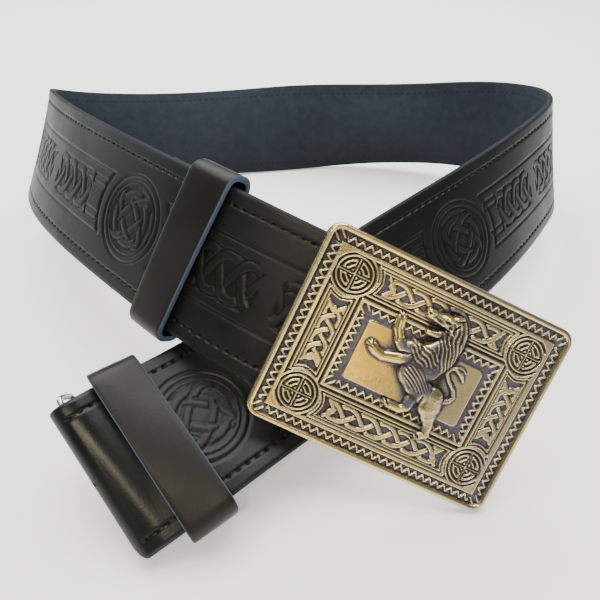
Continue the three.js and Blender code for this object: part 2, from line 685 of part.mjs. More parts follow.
const belt = new THREE.Group();
belt.add(strap, buckleKeeper, hookKeeper, buckle, catchLoop);

// The belt's points, as the group stands.
function pointsOf(pieces) {
  return pieces.flatMap((piece) => {
    piece.updateWorldMatrix(true, false);
    const position = piece.geometry.getAttribute('position');
    return Array.from({ length: position.count }, (_, i) => (
      new THREE.Vector3().fromBufferAttribute(position, i).applyMatrix4(piece.matrixWorld)));
  });
}

const lowest = (points) => points.reduce((low, point) => (point.z < low.z ? point : low));

// Let the belt down on the three places that carry it: its back, the buckle and the hook end.
function standOnGround() {
  for (let pass = 0; pass < 6; pass++) {
    const strapPoints = pointsOf([strap]);
    const ys = strapPoints.map((point) => point.y);
    const far = THREE.MathUtils.lerp(Math.min(...ys), Math.max(...ys), 0.75);
    const near = THREE.MathUtils.lerp(Math.min(...ys), Math.max(...ys), 0.25);
    const feet = [
      lowest(strapPoints.filter((point) => point.y > far)),
      lowest(pointsOf([buckle])),
      lowest([...strapPoints.filter((point) => point.y < near), ...pointsOf([hookKeeper, catchLoop])]),
    ];
    const normal = new THREE.Vector3()
      .crossVectors(feet[1].clone().sub(feet[0]), feet[2].clone().sub(feet[0])).normalize();
    normal.multiplyScalar(Math.sign(normal.z));
    const level = new THREE.Quaternion().setFromUnitVectors(normal, Z);
    belt.quaternion.premultiply(level);
    belt.position.applyQuaternion(level);
  }
  const box = new THREE.Box3().setFromPoints(pointsOf(belt.children));
  const centre = box.getCenter(new THREE.Vector3());
  belt.position.sub(new THREE.Vector3(centre.x, centre.y, box.min.z));
}

standOnGround();
belt.updateMatrixWorld(true);

export default belt;
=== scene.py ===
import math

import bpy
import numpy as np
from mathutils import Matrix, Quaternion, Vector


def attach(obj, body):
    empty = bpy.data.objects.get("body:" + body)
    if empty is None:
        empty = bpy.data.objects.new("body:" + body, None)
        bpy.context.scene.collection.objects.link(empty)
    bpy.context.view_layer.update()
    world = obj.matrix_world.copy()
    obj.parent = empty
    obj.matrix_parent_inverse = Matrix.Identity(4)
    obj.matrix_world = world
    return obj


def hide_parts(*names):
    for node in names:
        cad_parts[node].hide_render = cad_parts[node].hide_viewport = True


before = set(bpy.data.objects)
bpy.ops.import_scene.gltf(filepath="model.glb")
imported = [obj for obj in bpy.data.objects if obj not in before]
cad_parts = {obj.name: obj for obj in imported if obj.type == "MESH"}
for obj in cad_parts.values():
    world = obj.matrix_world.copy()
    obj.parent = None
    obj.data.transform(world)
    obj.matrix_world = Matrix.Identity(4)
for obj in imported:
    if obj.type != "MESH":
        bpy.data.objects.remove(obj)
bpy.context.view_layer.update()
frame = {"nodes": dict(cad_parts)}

# %% [markdown]
# # A kilt belt with an embossed strap and a cast plate buckle
#
# This notebook dresses the plain solids of a kilt belt: one wide strap of black leather that stands
# on edge in a loop, two leather keepers, a cast buckle on one end and a wire loop in the other end.
# The solids are exact but plain, so each piece is made again here at the same place with its
# embossing, stitches and relief. Sizes are written in millimetres, as a belt maker would, and
# turned into Blender's metres when a mesh is built. Lamps are placed in metres.

MM = 0.001
print("solids:", ", ".join(frame["nodes"]))

# %% [markdown]
# ## The camera
#
# The photograph looks down on the belt by about 39 degrees from in front of the buckle. The camera
# was found by laying the strap's edges over the photograph, so it is given as a place, a lens and
# a tilt. The belt was then set level on the floor, and the camera went with it.

# %% Set up the camera
SETTLED = Quaternion((0.9999895590, 0.0031655079, 0.0032956690, 0.0000001189))
SHIFT = Vector((11.66178, 137.92997, 0.08812))
CAMERA_POINT = Vector((-6.94, -380.52, 181.32))
CAMERA_DOWN = 38.80
LENS = 33.6

camera = bpy.data.objects.new("camera", bpy.data.cameras.new("camera"))
bpy.context.scene.collection.objects.link(camera)
camera.data.sensor_width = 36
camera.data.lens = LENS
camera.data.clip_start = 0.01
camera.rotation_mode = "QUATERNION"
camera.location = (SETTLED @ CAMERA_POINT + SHIFT) * MM
tilt = Matrix.Rotation(math.radians(90 - CAMERA_DOWN), 3, "X").to_quaternion()
camera.rotation_quaternion = SETTLED @ tilt
bpy.context.scene.camera = camera
print("camera at", [round(value, 3) for value in camera.location])

# %% [markdown]
# ## The run of the strap
#
# A leather strap bends and twists but doesn't stretch. Its run is therefore a walk: start in the
# middle of the back, take short steps, and at each step turn a little about the strap's own width
# (bend) and about its own length (twist). The two short tables say how much for each tenth of a
# leg. Everything on the strap is then placed by s along it, v up across it and n out of its face.

# %% Sizes of the strap, and how its two legs bend and twist
STRAP_WIDTH = 57.0
STRAP_THICK = 3.4
BUCKLE_LEG = 448.0
HOOK_LEG = 476.0
BACK_YAW, BACK_LEAN, BACK_SLOPE = -3.6, 12.0, -5.4
BUCKLE_LEG_SHAPE = [
    (0, 10.3, -22), (0.18, 5.8, 0.5), (0.29, 26, 8), (0.357, 66, 8), (0.424, 46, 23.5),
    (0.502, 6.5, 3.7), (0.647, 11.4, -0.9), (0.804, 3.2, 0.6), (0.938, 31, 10),
    (0.972, 23.7, -4.2), (1, 2.3, -9),
]
HOOK_LEG_SHAPE = [
    (0, 11, 23.5), (0.168, 1.8, -3.4), (0.273, 54, -25.8), (0.336, 47, 24.6), (0.399, 50, 12.6),
    (0.473, 7.4, 5.5), (0.609, 9.8, 9.1), (0.756, 1.4, 19), (0.85, -13.5, 13.9),
    (0.92, 7.9, -2.4), (0.96, 21.7, -28.7), (1, 3, -18.3),
]
print("the strap is", BUCKLE_LEG + HOOK_LEG, "mm long from bar to bar, and", STRAP_WIDTH, "mm wide")

# %% Walk along the strap


def back_frame():
    yaw, slope, lean = (math.radians(a) for a in (BACK_YAW, BACK_SLOPE, BACK_LEAN))
    left = Vector((-math.cos(yaw), -math.sin(yaw), 0))
    away = Vector((-math.sin(yaw), math.cos(yaw), 0))
    above = Vector((0, 0, 1))
    along = left * math.cos(slope) + above * math.sin(slope)
    rise = above * math.cos(slope) - left * math.sin(slope)
    up = rise * math.cos(lean) + away * math.sin(lean)
    out = away * math.cos(lean) - rise * math.sin(lean)
    return up * STRAP_WIDTH / 2, along, up, out


def walk(length, shape, sign):
    point, along, up, out = back_frame()
    along = along * sign
    steps = round(length)
    hand = math.copysign(1, along.cross(up).dot(out))
    rows = [(point, along, up, out)]
    shares, bends, twists = zip(*shape)
    for i in range(steps):
        share = (i + 0.5) / steps
        bend = np.interp(share, shares, bends) * math.radians(10 / steps) * hand
        twist = -np.interp(share, shares, twists) * math.radians(10 / steps) * hand
        turn = up * bend + along * twist
        spin = Quaternion(turn.normalized(), turn.length)
        next_along = spin @ along
        point = point + (along + next_along) * (length / steps / 2)
        along, up, out = next_along, spin @ up, spin @ out
        rows.append((point, along, up, out))
    turned = SETTLED.to_matrix()
    table = np.array([[list(turned @ part) for part in row] for row in rows])
    table[:, 0] += np.array(SHIFT)
    return {"length": length, "s": np.linspace(0, length, steps + 1), "rows": table}


def frame_at(leg, s):
    s = np.asarray(s, float)
    parts = []
    for part in range(4):
        found = np.stack([np.interp(s, leg["s"], leg["rows"][:, part, axis]) for axis in range(3)], -1)
        if part:
            found /= np.linalg.norm(found, axis=-1, keepdims=True)
        parts.append(found)
    return parts


def on_strap(leg, s, v, n):
    point, along, up, out = frame_at(leg, s)
    return point + up * np.asarray(v, float)[..., None] + out * np.asarray(n, float)[..., None]


buckle_leg = walk(BUCKLE_LEG, BUCKLE_LEG_SHAPE, 1)
hook_leg = walk(HOOK_LEG, HOOK_LEG_SHAPE, -1)
print("bar of the buckle near", np.round(buckle_leg["rows"][-1, 0], 1), "mm")
print("bar of the wire loop near", np.round(hook_leg["rows"][-1, 0], 1), "mm")

# %% [markdown]
# ## Meshes from grids
#
# Every piece here is a grid of points: rows along it and columns across it. A small helper turns
# such a grid into a mesh, closes it on itself where the piece is a ring, and stores a number for
# each point that the material can read later, such as how deep the tool pressed the leather there.

# %% A helper that turns a grid of points into an object


def grid_faces(rows, columns, close_rows=False, close_columns=False, flip=False):
    r = np.arange(rows if close_rows else rows - 1)
    c = np.arange(columns if close_columns else columns - 1)
    r, c = (a.ravel() for a in np.meshgrid(r, c, indexing="ij"))
    r2, c2 = (r + 1) % rows, (c + 1) % columns
    quads = np.stack([r * columns + c, r2 * columns + c, r2 * columns + c2, r * columns + c2], -1)
    return quads[:, ::-1] if flip else quads


def build(name, points, faces, values=None, smooth=True):
    mesh = bpy.data.meshes.new(name)
    mesh.from_pydata((np.asarray(points) * MM).tolist(), [], [list(map(int, f)) for f in faces])
    for key, numbers in (values or {}).items():
        layer = mesh.attributes.new(key, "FLOAT", "POINT")
        layer.data.foreach_set("value", np.asarray(numbers, np.float32).ravel())
    mesh.polygons.foreach_set("use_smooth", [smooth] * len(mesh.polygons))
    mesh.update()
    made = bpy.data.objects.new(name, mesh)
    bpy.context.scene.collection.objects.link(made)
    print(name, "has", len(mesh.vertices), "points and", len(mesh.polygons), "faces")
    return made


def join_lists(pieces):
    points, faces, start = [], [], 0
    for piece_points, piece_faces in pieces:
        points.append(np.asarray(piece_points).reshape(-1, 3))
        faces.extend((np.asarray(face) + start).tolist() for face in piece_faces)
        start += len(points[-1])
    return np.concatenate(points), faces


print("a sleeve of 4 rings with 6 points each has", len(grid_faces(4, 6, close_columns=True)), "faces")

# %% [markdown]
# ## Embossed knotwork
#
# Such an ornament is usually pressed into damp leather with a heated roller: lines sink in, and
# the strands between them stay at the old surface. A real plait passes over and under, so each strand
# gets a rank at each point, and where two meet the higher one wins. The same two helpers draw the
# knots of the leather and of the cast buckle: one gives the profile of a strand from the distance
# to its middle line, the other lays the strands over each other.

# %% Strands that pass over and under


def strand_profile(distance, half, groove, crown=0.12):
    top = -crown * np.clip(distance / half, 0, 1) ** 2
    wall = np.clip((distance - half) / (0.35 * groove), 0, 1)
    return top * (1 - wall) - wall


def lay_strands(strands, ground):
    """strands holds (distance, rank, half, groove); the result is 0 on top and -1 in a groove."""
    best = np.full(ground.shape, -9.0)
    result = ground.copy()
    for distance, rank, half, groove in strands:
        near = distance < half + groove
        wins = near & (rank > best)
        result = np.where(wins, strand_profile(distance, half, groove), result)
        best = np.where(wins, rank, best)
    return result


def plait(x, y, wave, swing, half, groove, length, ground):
    """Three strands that weave along x, ending at x = -length / 2 and length / 2."""
    strands = []
    inside = np.abs(x) <= length / 2
    for k in range(3):
        phase = 2 * np.pi * (x / wave - 0.5 + k / 3)
        middle = swing * (1.04 * np.cos(phase) - 0.04 * np.cos(3 * phase))
        slope = swing * (0.12 * np.sin(3 * phase) - 1.04 * np.sin(phase)) * 2 * np.pi / wave
        distance = np.abs(y - middle) / np.sqrt(1 + slope**2)
        distance = np.where(inside, distance, 99)
        rank = -np.sign(slope * (y + 1e-6)) + 0.01 * k
        strands.append((distance, rank, half, groove))
    return lay_strands(strands, ground)


def round_knot(x, y, radius, long_half, short_half, half, groove, ground):
    """A ring and two long loops that cross it and each other, over and under in turn."""
    r = np.hypot(x, y)
    a, b = (x + y) / math.sqrt(2), (y - x) / math.sqrt(2)
    strands = [(np.abs(r - radius), np.zeros_like(r), half, groove)]
    quarter = np.sign(a * b) * np.where(r > (radius + short_half) / 2, 1, -1)
    for p, q, rank in ((a, b, quarter), (b, a, -quarter)):
        level = np.hypot(p / long_half, q / short_half)
        steep = np.hypot(p / long_half**2, q / short_half**2) / np.maximum(level, 0.05)
        strands.append((np.abs(level - 1) / np.maximum(steep, 0.02), rank, half, groove))
    return lay_strands(strands, ground)


trial = strand_profile(np.array([0.0, 1.0, 1.4]), 1.0, 0.8)
print("a strand's height at its middle, side and groove:", trial.round(2))

# %% [markdown]
# ## The strap's pattern
#
# Along the belt, round knots 34 mm across alternate with long panels. Each panel has a fine frame
# line whose ends curve round the roundels, and inside it two blocks of plait with plain bars at
# their outer ends. In front the roundels are 137 to 144 mm apart. The back doesn't show in the
# photograph, so there they are spaced evenly. Two rows of stitches run beside the edges.

# %% Where the pattern's pieces lie along the strap
# Roundels by their place along the strap, counted from the middle of the back, + to the buckle.
ROUNDELS = [-577.4, -440.4, -303.4, -174.3, -45.2, 84.0, 213.1, 357.3, 494.3]
PANEL_PITCH = 137.0
ROUNDEL_RINGS = [(17.0, 1.2), (14.3, 1.0)]
KNOT_RADIUS = 12.9
PANEL_HALF = 12.8
PANEL_END = 21.9
KNOT_SWING = 7.3
KNOT_WAVE = 27.0
KNOT_LENGTH = 35.0
WINDOW_HALF = 3.6
STRAND_HALF = 1.3
STRAND_GROOVE = 0.8
BETWEEN_STRANDS = -0.6
PRESS = 0.5
STITCH_LINE = 22.9
STITCH_PITCH = 3.9


def pattern_place(t):
    """Distance from the nearest roundel, and from the middle of the panel beside it."""
    marks = np.array(ROUNDELS)
    nearest = marks[np.abs(t[..., None] - marks).argmin(-1)]
    share = np.interp(t, marks, np.arange(len(marks)))
    return t - nearest, (share - np.floor(share) - 0.5) * PANEL_PITCH


print("from the middle of the back to the nearest roundel:", pattern_place(np.zeros(1))[0][0], "mm")

# %% Depth of the embossing at each point of the strap


def line_press(distance, width):
    return -np.clip(1.25 - distance / (width / 2), 0, 1)


def emboss(t, v):
    x, panel_x = pattern_place(t)
    r = np.hypot(x, v)
    flat = np.zeros_like(r)
    depth = flat.copy()
    for radius, width in ROUNDEL_RINGS:
        depth = np.minimum(depth, line_press(np.abs(r - radius), width))
    knot = round_knot(x, v, 9.6, 11.4, 4.4, 1.15, STRAND_GROOVE, flat + BETWEEN_STRANDS)
    depth = np.where(r < KNOT_RADIUS, np.minimum(depth, knot), depth)
    # the frame of a panel: two long lines, and at each end an arc round the roundel
    long_line = np.where(r > PANEL_END, np.abs(np.abs(v) - PANEL_HALF), 99)
    arc = np.where(np.abs(v) < PANEL_HALF, np.abs(r - PANEL_END), 99)
    depth = np.minimum(depth, line_press(long_line, 1.0))
    depth = np.minimum(depth, line_press(arc, 1.7))
    # two blocks of plait, with a plain window between them
    block = np.abs(panel_x) - WINDOW_HALF - KNOT_LENGTH / 2
    between = flat + BETWEEN_STRANDS
    plaited = plait(block, v, KNOT_WAVE, KNOT_SWING, STRAND_HALF, STRAND_GROOVE, KNOT_LENGTH, between)
    hull = KNOT_SWING + STRAND_HALF - 3 * (np.abs(block) / (KNOT_LENGTH / 2)) ** 10
    in_knot = (np.abs(block) < KNOT_LENGTH / 2) & (np.abs(v) < hull + 0.6)
    depth = np.where(in_knot, np.minimum(depth, plaited), depth)
    # plain bars that carry the outer strands on towards the roundel
    outward = block - KNOT_LENGTH / 2
    bar_y = np.abs(np.abs(v) - 6.9) - 1.6
    bar = np.maximum(np.maximum(-outward, outward - 9.5 + 0.35 * (np.abs(v) - 6.9)), bar_y)
    bars = (outward > -0.2) & (bar < 1.0)
    return np.where(bars, np.minimum(depth, line_press(np.abs(bar), 0.8)), depth)


def stitch_press(s, v, first, last):
    """The thread's channel and holes, and how much of each point is thread."""
    off = np.abs(np.abs(v) - STITCH_LINE)
    beat = np.abs(((s / STITCH_PITCH) % 1) - 0.5) * 2
    channel = -0.34 * np.clip(1.35 - off / 0.62, 0, 1)
    thread = 0.14 * np.clip(1 - (off / 0.5) ** 2, 0, 1) * np.clip((0.8 - beat) * 4, 0, 1)
    hole = -0.7 * np.clip(1 - off / 0.75, 0, 1) * np.clip((beat - 0.6) * 5, 0, 1)
    on = (s > first) & (s < last)
    return np.where(on, channel + thread + hole, 0), np.where(on, np.clip(1.5 - off / 0.5, 0, 1), 0)


trial_t, trial_v = np.meshgrid(np.linspace(84, 213, 400), np.linspace(-18, 18, 120), indexing="ij")
print("the embossing goes", round(float(-emboss(trial_t, trial_v).min()) * PRESS, 2), "mm deep")

# %% [markdown]
# ## The strap as one mesh
#
# The strap's skin is one long grid: many columns across the embossed outer face, a rounded edge,
# fewer columns on the suede inner face, and the other edge. Rows run from the tip of one folded
# tail, round its fold, along the buckle leg, the back and the hook leg, to the tip of the other
# tail. Rows are close together where the camera looks and wider at the back. The real strap is
# one piece; here it is two meshes that meet at the back, so that neither gets too heavy.

# %% Stations along the strap, with its folds and tails
SEAT = 0.35
TAIL_GAP = 0.5
TAIL_CLOSING = 22.0
BAR_RADIUS = 1.75
WIRE_RADIUS = 1.15
BUCKLE_TAIL = 84.0
HOOK_TAIL = 50.0


def tail_space(back, bar):
    t = np.clip(back / TAIL_CLOSING, 0, 1)
    return 2 * (bar + SEAT) + (TAIL_GAP - 2 * (bar + SEAT)) * t * t * (3 - 2 * t)


def leg_stations(leg, bar, tail, step, trim=0.0):
    """Rows of middle of the thickness, up, face, s, side (0 run, 1 tail) and trim of the low edge."""
    s = np.arange(0, leg["length"] + 1e-6, leg["length"] / round(leg["length"] / step))
    point, along, up, out = frame_at(leg, s)
    rows = []
    for i in range(len(s)):
        rows.append((point[i] - out[i] * STRAP_THICK / 2, up[i], out[i], s[i], 0, 0.0))
    radius = bar + SEAT + STRAP_THICK
    end_point, end_along, end_up, end_out = (part[-1] for part in (point, along, up, out))
    centre = end_point - end_out * radius
    turns = 20
    for i in range(1, turns):
        a = math.pi * i / turns
        face = end_out * math.cos(a) + end_along * math.sin(a)
        middle = centre + face * (radius - STRAP_THICK / 2)
        t = np.clip((math.degrees(a) - 30) / 65, 0, 1)
        rows.append((middle, end_up, face, leg["length"] + radius * a, 1, trim * t * t * (3 - 2 * t)))
    count = round(tail / 2.5)
    for i in range(count + 1):
        back = tail * i / count
        p, t, u, o = (part[0] for part in frame_at(leg, [leg["length"] - back]))
        depth = 1.5 * STRAP_THICK + tail_space(back, bar)
        rows.append((p - o * depth, u, -o, leg["length"] + radius * math.pi + back, 1, trim))
    return rows


STEP_FRONT = 0.52
HOOK_TAIL_TRIM = 5.5
buckle_rows = leg_stations(buckle_leg, BAR_RADIUS, BUCKLE_TAIL, STEP_FRONT)
hook_rows = leg_stations(hook_leg, WIRE_RADIUS, HOOK_TAIL, STEP_FRONT, HOOK_TAIL_TRIM)


def thin_out(rows, before):
    """Keeps every third station near the back, where nothing is seen close by."""
    return [row for i, row in enumerate(rows) if row[3] > before or i % 3 == 0]


BACK_REACH = 190
buckle_rows = thin_out(buckle_rows, BACK_REACH)
hook_rows = thin_out(hook_rows, BACK_REACH)
print(len(buckle_rows), "stations on the buckle leg,", len(hook_rows), "on the hook leg")

# %% The strap's cross-section and skin
EDGE = 0.9
outer_v = np.concatenate([
    np.linspace(27.6, 24.4, 4), np.arange(23.9, 21.7, -0.28), np.linspace(21.2, 19, 3),
    np.arange(18.2, -18.3, -0.55), np.linspace(-19, -21.2, 3), -np.arange(21.9, 24.0, 0.28),
    np.linspace(-24.4, -27.6, 4),
])
round_over = np.radians([35, 65, 90, 115, 145])
inner_v = np.linspace(-27.6, 27.6, 6)


def section():
    """(v, n, kind) round the strap: kind 0 outer face, 1 cut edge, 2 inner face."""
    half_t = STRAP_THICK / 2
    ring = [(v, half_t, 0) for v in outer_v]
    low_edge = [(-28.5 + EDGE - EDGE * math.sin(a), half_t * math.cos(a), 1) for a in round_over]
    ring += low_edge
    ring += [(v, -half_t, 2) for v in inner_v]
    ring += [(-v, n, kind) for v, n, kind in reversed(low_edge)]
    return ring


SECTION = section()
print(len(SECTION), "points round the strap")

# %% The strap's skin, pressed and stitched
SWELL_REACH = 5.5


def skin(rows, sign, plain_from, stitches, swell_at=0.0, swell_rise=0.0):
    ring_v, ring_n, kind = np.array(SECTION).T
    middle, up, face, s, side, trim = (np.array(part) for part in zip(*rows))
    S, V = np.meshgrid(s, ring_v, indexing="ij")
    pressed = np.where((S < plain_from) & (side[:, None] == 0), emboss(sign * S, V), 0)
    holes, thread = stitch_press(S, V, *stitches)
    outer = (kind == 0)[None, :]
    swell = swell_rise * np.exp(-(((S - swell_at) / SWELL_REACH) ** 2))
    depth = np.where(outer, PRESS * pressed + holes + swell, 0)
    across = V + np.where(V < 0, trim[:, None], 0)
    points = middle[:, None] + up[:, None] * across[..., None]
    points += face[:, None] * (ring_n + depth)[..., None]
    values = {
        "pressed": np.where(outer, pressed, 0),
        "thread": np.where(outer, thread, 0),
        "cut_edge": np.broadcast_to((kind == 1)[None, :], S.shape).astype(float),
        "suede": np.broadcast_to((kind == 2)[None, :], S.shape).astype(float),
        "handled": swell / max(swell_rise, 0.001),
        "run": S,
        "across": V,
    }
    return points, values

# %% Both legs' skins, joined at the middle of the back
# Places by distance from the middle of the back. The pattern ends under the plate at one end and
# under the keeper at the other, and the leather swells softly before the wire loop's fold.
PATTERN_END_AT_BUCKLE, STITCH_END_AT_BUCKLE = BUCKLE_LEG - 4, BUCKLE_LEG - 6
PATTERN_END_AT_WIRE, STITCH_END_AT_WIRE = HOOK_LEG - 20, HOOK_LEG + 1
SWELL_AT, SWELL_RISE = HOOK_LEG - 4, 1.2
buckle_skin, buckle_values = skin(buckle_rows, 1, PATTERN_END_AT_BUCKLE, (0, STITCH_END_AT_BUCKLE))
hook_stitches = (0, STITCH_END_AT_WIRE)
hook_skin, hook_values = skin(hook_rows, -1, PATTERN_END_AT_WIRE, hook_stitches, SWELL_AT, SWELL_RISE)
hook_values["run"] = -hook_values["run"]
all_points = np.concatenate([buckle_skin[::-1], hook_skin[1:]])
strap_values = {}
for key in buckle_values:
    strap_values[key] = np.concatenate([buckle_values[key][::-1], hook_values[key][1:]])
print("the whole skin has", all_points.shape[0], "by", all_points.shape[1], "points")

# %% Two meshes from the one skin


def strap_part(name, first, last, tip):
    """One length of the strap, closed at the tip of its folded tail and open where the lengths meet."""
    points = all_points[first:last]
    rows, columns = points.shape[:2]
    faces = grid_faces(rows, columns, close_columns=True).tolist()
    last_row = range(rows * columns - 1, (rows - 1) * columns - 1, -1)
    faces.append(list(range(columns) if tip == "first" else last_row))
    own_values = {key: found[first:last] for key, found in strap_values.items()}
    made = build(name, points.reshape(-1, 3), faces, own_values)
    made.data.polygons[-1].use_smooth = False
    return made


# the two lengths meet in the plain middle of a panel at the back
PLAIN_MIDDLE = (ROUNDELS[4] + ROUNDELS[5]) / 2
meet = int(np.abs(strap_values["run"][:, 0] - PLAIN_MIDDLE).argmin())
strap_parts = [
    strap_part("strap_leather_to_buckle", 0, meet + 1, "first"),
    strap_part("strap_leather_to_wire_loop", meet, len(all_points), "last"),
]

# %% [markdown]
# ## The keepers
#
# A keeper is a short band of thick leather, joined into a closed ring that slides along the strap
# and holds the folded tail down. Its corners are round and its cut edges are raw: the black dye
# is only on its faces, so a blue grey line shows all round it. Here each keeper is a ring of
# sections that follow the strap below.

# %% The way round a keeper, and the section of its wall
KEEPER_WIDTH = 17.0
KEEPER_WALL = 2.4
KEEPER_SIDE_GAP = 2.2
KEEPER_FRONT_GAP = 1.4
KEEPER_BACK_GAP = 0.95
KEEPER_CORNER = 4.5
BUCKLE_KEEPER = BUCKLE_LEG - 59
BUCKLE_KEEPER_SKEW = 0.064
HOOK_KEEPER = HOOK_LEG - 20


def keeper_path(back):
    """Points (v, n) and outward directions of the wall's middle line, once round."""
    front = KEEPER_FRONT_GAP + KEEPER_WALL / 2
    side = STRAP_WIDTH / 2 + KEEPER_SIDE_GAP + KEEPER_WALL / 2
    corners = [(side, front, 0), (-side, front, 90), (-side, -back, 180), (side, -back, 270)]
    path = []
    for v, n, heading in corners:
        cv = v - math.copysign(KEEPER_CORNER, v)
        cn = n - KEEPER_CORNER if n > 0 else n + KEEPER_CORNER
        for a in np.radians(heading + np.linspace(0, 90, 8)):
            path.append((cv + KEEPER_CORNER * math.cos(a), cn + KEEPER_CORNER * math.sin(a), a))
    filled = []
    for (v0, n0, a0), (v1, n1, a1) in zip(path, path[1:] + path[:1]):
        gap = math.hypot(v1 - v0, n1 - n0)
        count = max(1, round(gap / 3.0))
        turn = (a1 - a0 + math.pi) % (2 * math.pi) - math.pi
        for i in range(count):
            t = i / count
            filled.append((v0 + (v1 - v0) * t, n0 + (n1 - n0) * t, a0 + turn * t))
    return filled


def keeper_section():
    """(run, rise, kind) round the wall: kind 1 marks the cut edge."""
    half, wall, soft = KEEPER_WIDTH / 2, KEEPER_WALL / 2, 0.45
    edge = [(half - 0.12, wall - 0.13), (half, wall - soft)]
    edge += [(half, soft - wall), (half - 0.12, 0.13 - wall)]
    ring = [(x, wall, 0) for x in np.linspace(soft - half, half - soft, 11)]
    ring += [(x, h, 1) for x, h in edge]
    ring += [(x, -wall, 0) for x in np.linspace(half - soft, soft - half, 6)]
    return ring + [(-x, -h, 1) for x, h in edge]


print("a keeper's wall has", len(keeper_section()), "points round its section")

# %% Build both keepers


def keeper(name, leg, at, bar, skew=0.0):
    back = 2 * STRAP_THICK + tail_space(leg["length"] - at - KEEPER_WIDTH / 2, bar)
    back += KEEPER_BACK_GAP + KEEPER_WALL / 2
    ring = keeper_section()
    run, rise, kind = np.array(ring).T
    path = keeper_path(float(back))
    rows = []
    for v, n, a in path:
        belly = 0.25 * math.cos(math.pi * v / STRAP_WIDTH) if n > 0 else 0
        across = v + rise * math.cos(a)
        rows.append(on_strap(leg, at + run + skew * across, across, n + belly + rise * math.sin(a)))
    points = np.array(rows)
    faces = grid_faces(len(path), len(ring), close_rows=True, close_columns=True)
    return build(name, points.reshape(-1, 3), faces, {"cut_edge": np.broadcast_to(kind, points.shape[:2])})


keeper_near_buckle = keeper(
    "keeper_by_buckle", buckle_leg, BUCKLE_KEEPER, BAR_RADIUS, BUCKLE_KEEPER_SKEW
)
keeper_near_hook = keeper("keeper_by_wire_loop", hook_leg, HOOK_KEEPER, WIRE_RADIUS)

# %% [markdown]
# ## The buckle's cast relief
#
# The buckle is cast brass: the whole ornament, lion included, comes out of one mould, then the
# recesses are blackened and the high places polished back. A cast face like this has no
# undercuts, so it can be made as a height above each point of a fine grid. Small functions give
# the distance to a line, a ring or a rectangle, and each distance becomes a raised line.

# %% Distances and raised lines on the plate
PLATE_LONG, PLATE_HIGH, PLATE_THICK, PLATE_CORNER = 90.0, 70.0, 2.2, 5.0
RIM = 2.2
LINE_RISE, ZIGZAG_RISE, STRAND_RISE, FIELD_RISE, RIM_RISE = 0.9, 0.75, 0.8, 0.5, 1.3
ROUNDEL_X, ROUNDEL_Y, ROUNDEL_SIZE = 31.9, 21.6, 6.9
ORNAMENT_SHIFT = 1.5


def rectangle_distance(x, y, half_x, half_y, corner):
    qx, qy = np.abs(x) - half_x + corner, np.abs(y) - half_y + corner
    outside = np.hypot(np.maximum(qx, 0), np.maximum(qy, 0))
    return outside + np.minimum(np.maximum(qx, qy), 0) - corner


def raised(distance, half, slope=0.3):
    t = np.clip((half - np.abs(distance)) / slope + 0.5, 0, 1)
    return t * t * (3 - 2 * t)


def inside(distance, slope=0.3):
    t = np.clip(-distance / slope + 0.5, 0, 1)
    return t * t * (3 - 2 * t)


def segment_distance(x, y, a, b):
    ax, ay = a
    dx, dy = b[0] - ax, b[1] - ay
    t = np.clip(((x - ax) * dx + (y - ay) * dy) / (dx * dx + dy * dy), 0, 1)
    return np.hypot(x - ax - t * dx, y - ay - t * dy), t


def zigzag(x, y, half_x, half_y, pitch, swing, half):
    """A zigzag round a rectangle with two leaf-shaped bars in each corner."""
    found = np.zeros_like(x)
    for along, across, reach, away in ((x, y, half_x, half_y), (y, x, half_y, half_x)):
        run = 2 * (reach - 2.4)
        teeth = round(run / pitch)
        turn = 2 * np.pi * along * teeth / run
        wave = swing * np.arcsin(0.75 * np.sin(turn)) / math.asin(0.75)
        slope = 4 * swing * teeth / run
        distance = np.abs(np.abs(across) - away - wave) / math.hypot(1, slope)
        found = np.maximum(found, np.where(np.abs(along) < run / 2, raised(distance, half), 0))
    for side in (-1, 1):
        a = (half_x - side * 0.75 - 1.0, half_y + side * 0.75 - 1.0)
        b = (half_x - side * 0.75 + 1.0, half_y + side * 0.75 + 1.0)
        distance, t = segment_distance(np.abs(x), np.abs(y), a, b)
        found = np.maximum(found, raised(distance, 0.42 - 0.25 * np.abs(t - 0.5)))
    return found


across_line = raised(np.array([0.0, 0.5, 1.0]), 0.5)
print("height of a 1 mm line at its middle, its side and 0.5 mm outside:", across_line.round(2))

# %% [markdown]
# ## Roundels and panels of the plate
#
# The same plait as on the leather returns in brass, between two frame lines. In the corners sit
# roundels, each quarter filled with short arcs, like spiral work in old metal. Distances to circles
# and short lines are enough for all of them, so no curve has to be drawn by hand.

# %% Roundels and plaited panels of the plate


def cast_roundel(x, y):
    """A ring, and in each quarter two arcs closed by short ends, with a fine cross between them."""
    r = np.hypot(x, y)
    arms = np.minimum(np.abs(x), np.abs(y))
    shapes = [raised(r - 5.85, 0.34)]
    for radius, half in ((4.35, 0.36), (2.75, 0.34), (1.45, 0.3)):
        shapes.append(raised(r - radius, half) * inside(0.75 - arms))
    shapes.append(raised(arms - 0.95, 0.2) * inside(r - 4.6) * inside(2.6 - r))
    shapes.append(0.85 * inside(arms - 0.2) * inside(r - 5.4))
    return np.maximum.reduce(shapes)


def cast_plait(x, y, length, height, wave):
    half = 0.74
    swing = height / 2 - half
    ground = np.full_like(x, -1.0)
    laid = plait(x, y, wave, swing, half, 0.36, length, ground)
    ends = []
    for side in (-1, 1):
        for way in (-1, 1):
            tip = (side * (length / 2 + 0.3), way * swing)
            knee = (side * (length / 2 - 2.2), way * swing * 0.15)
            distance, t = segment_distance(x, y, tip, knee)
            ends.append(raised(distance, half * 0.9))
    return np.maximum(np.clip(1 + laid, 0, 1), np.maximum.reduce(ends))


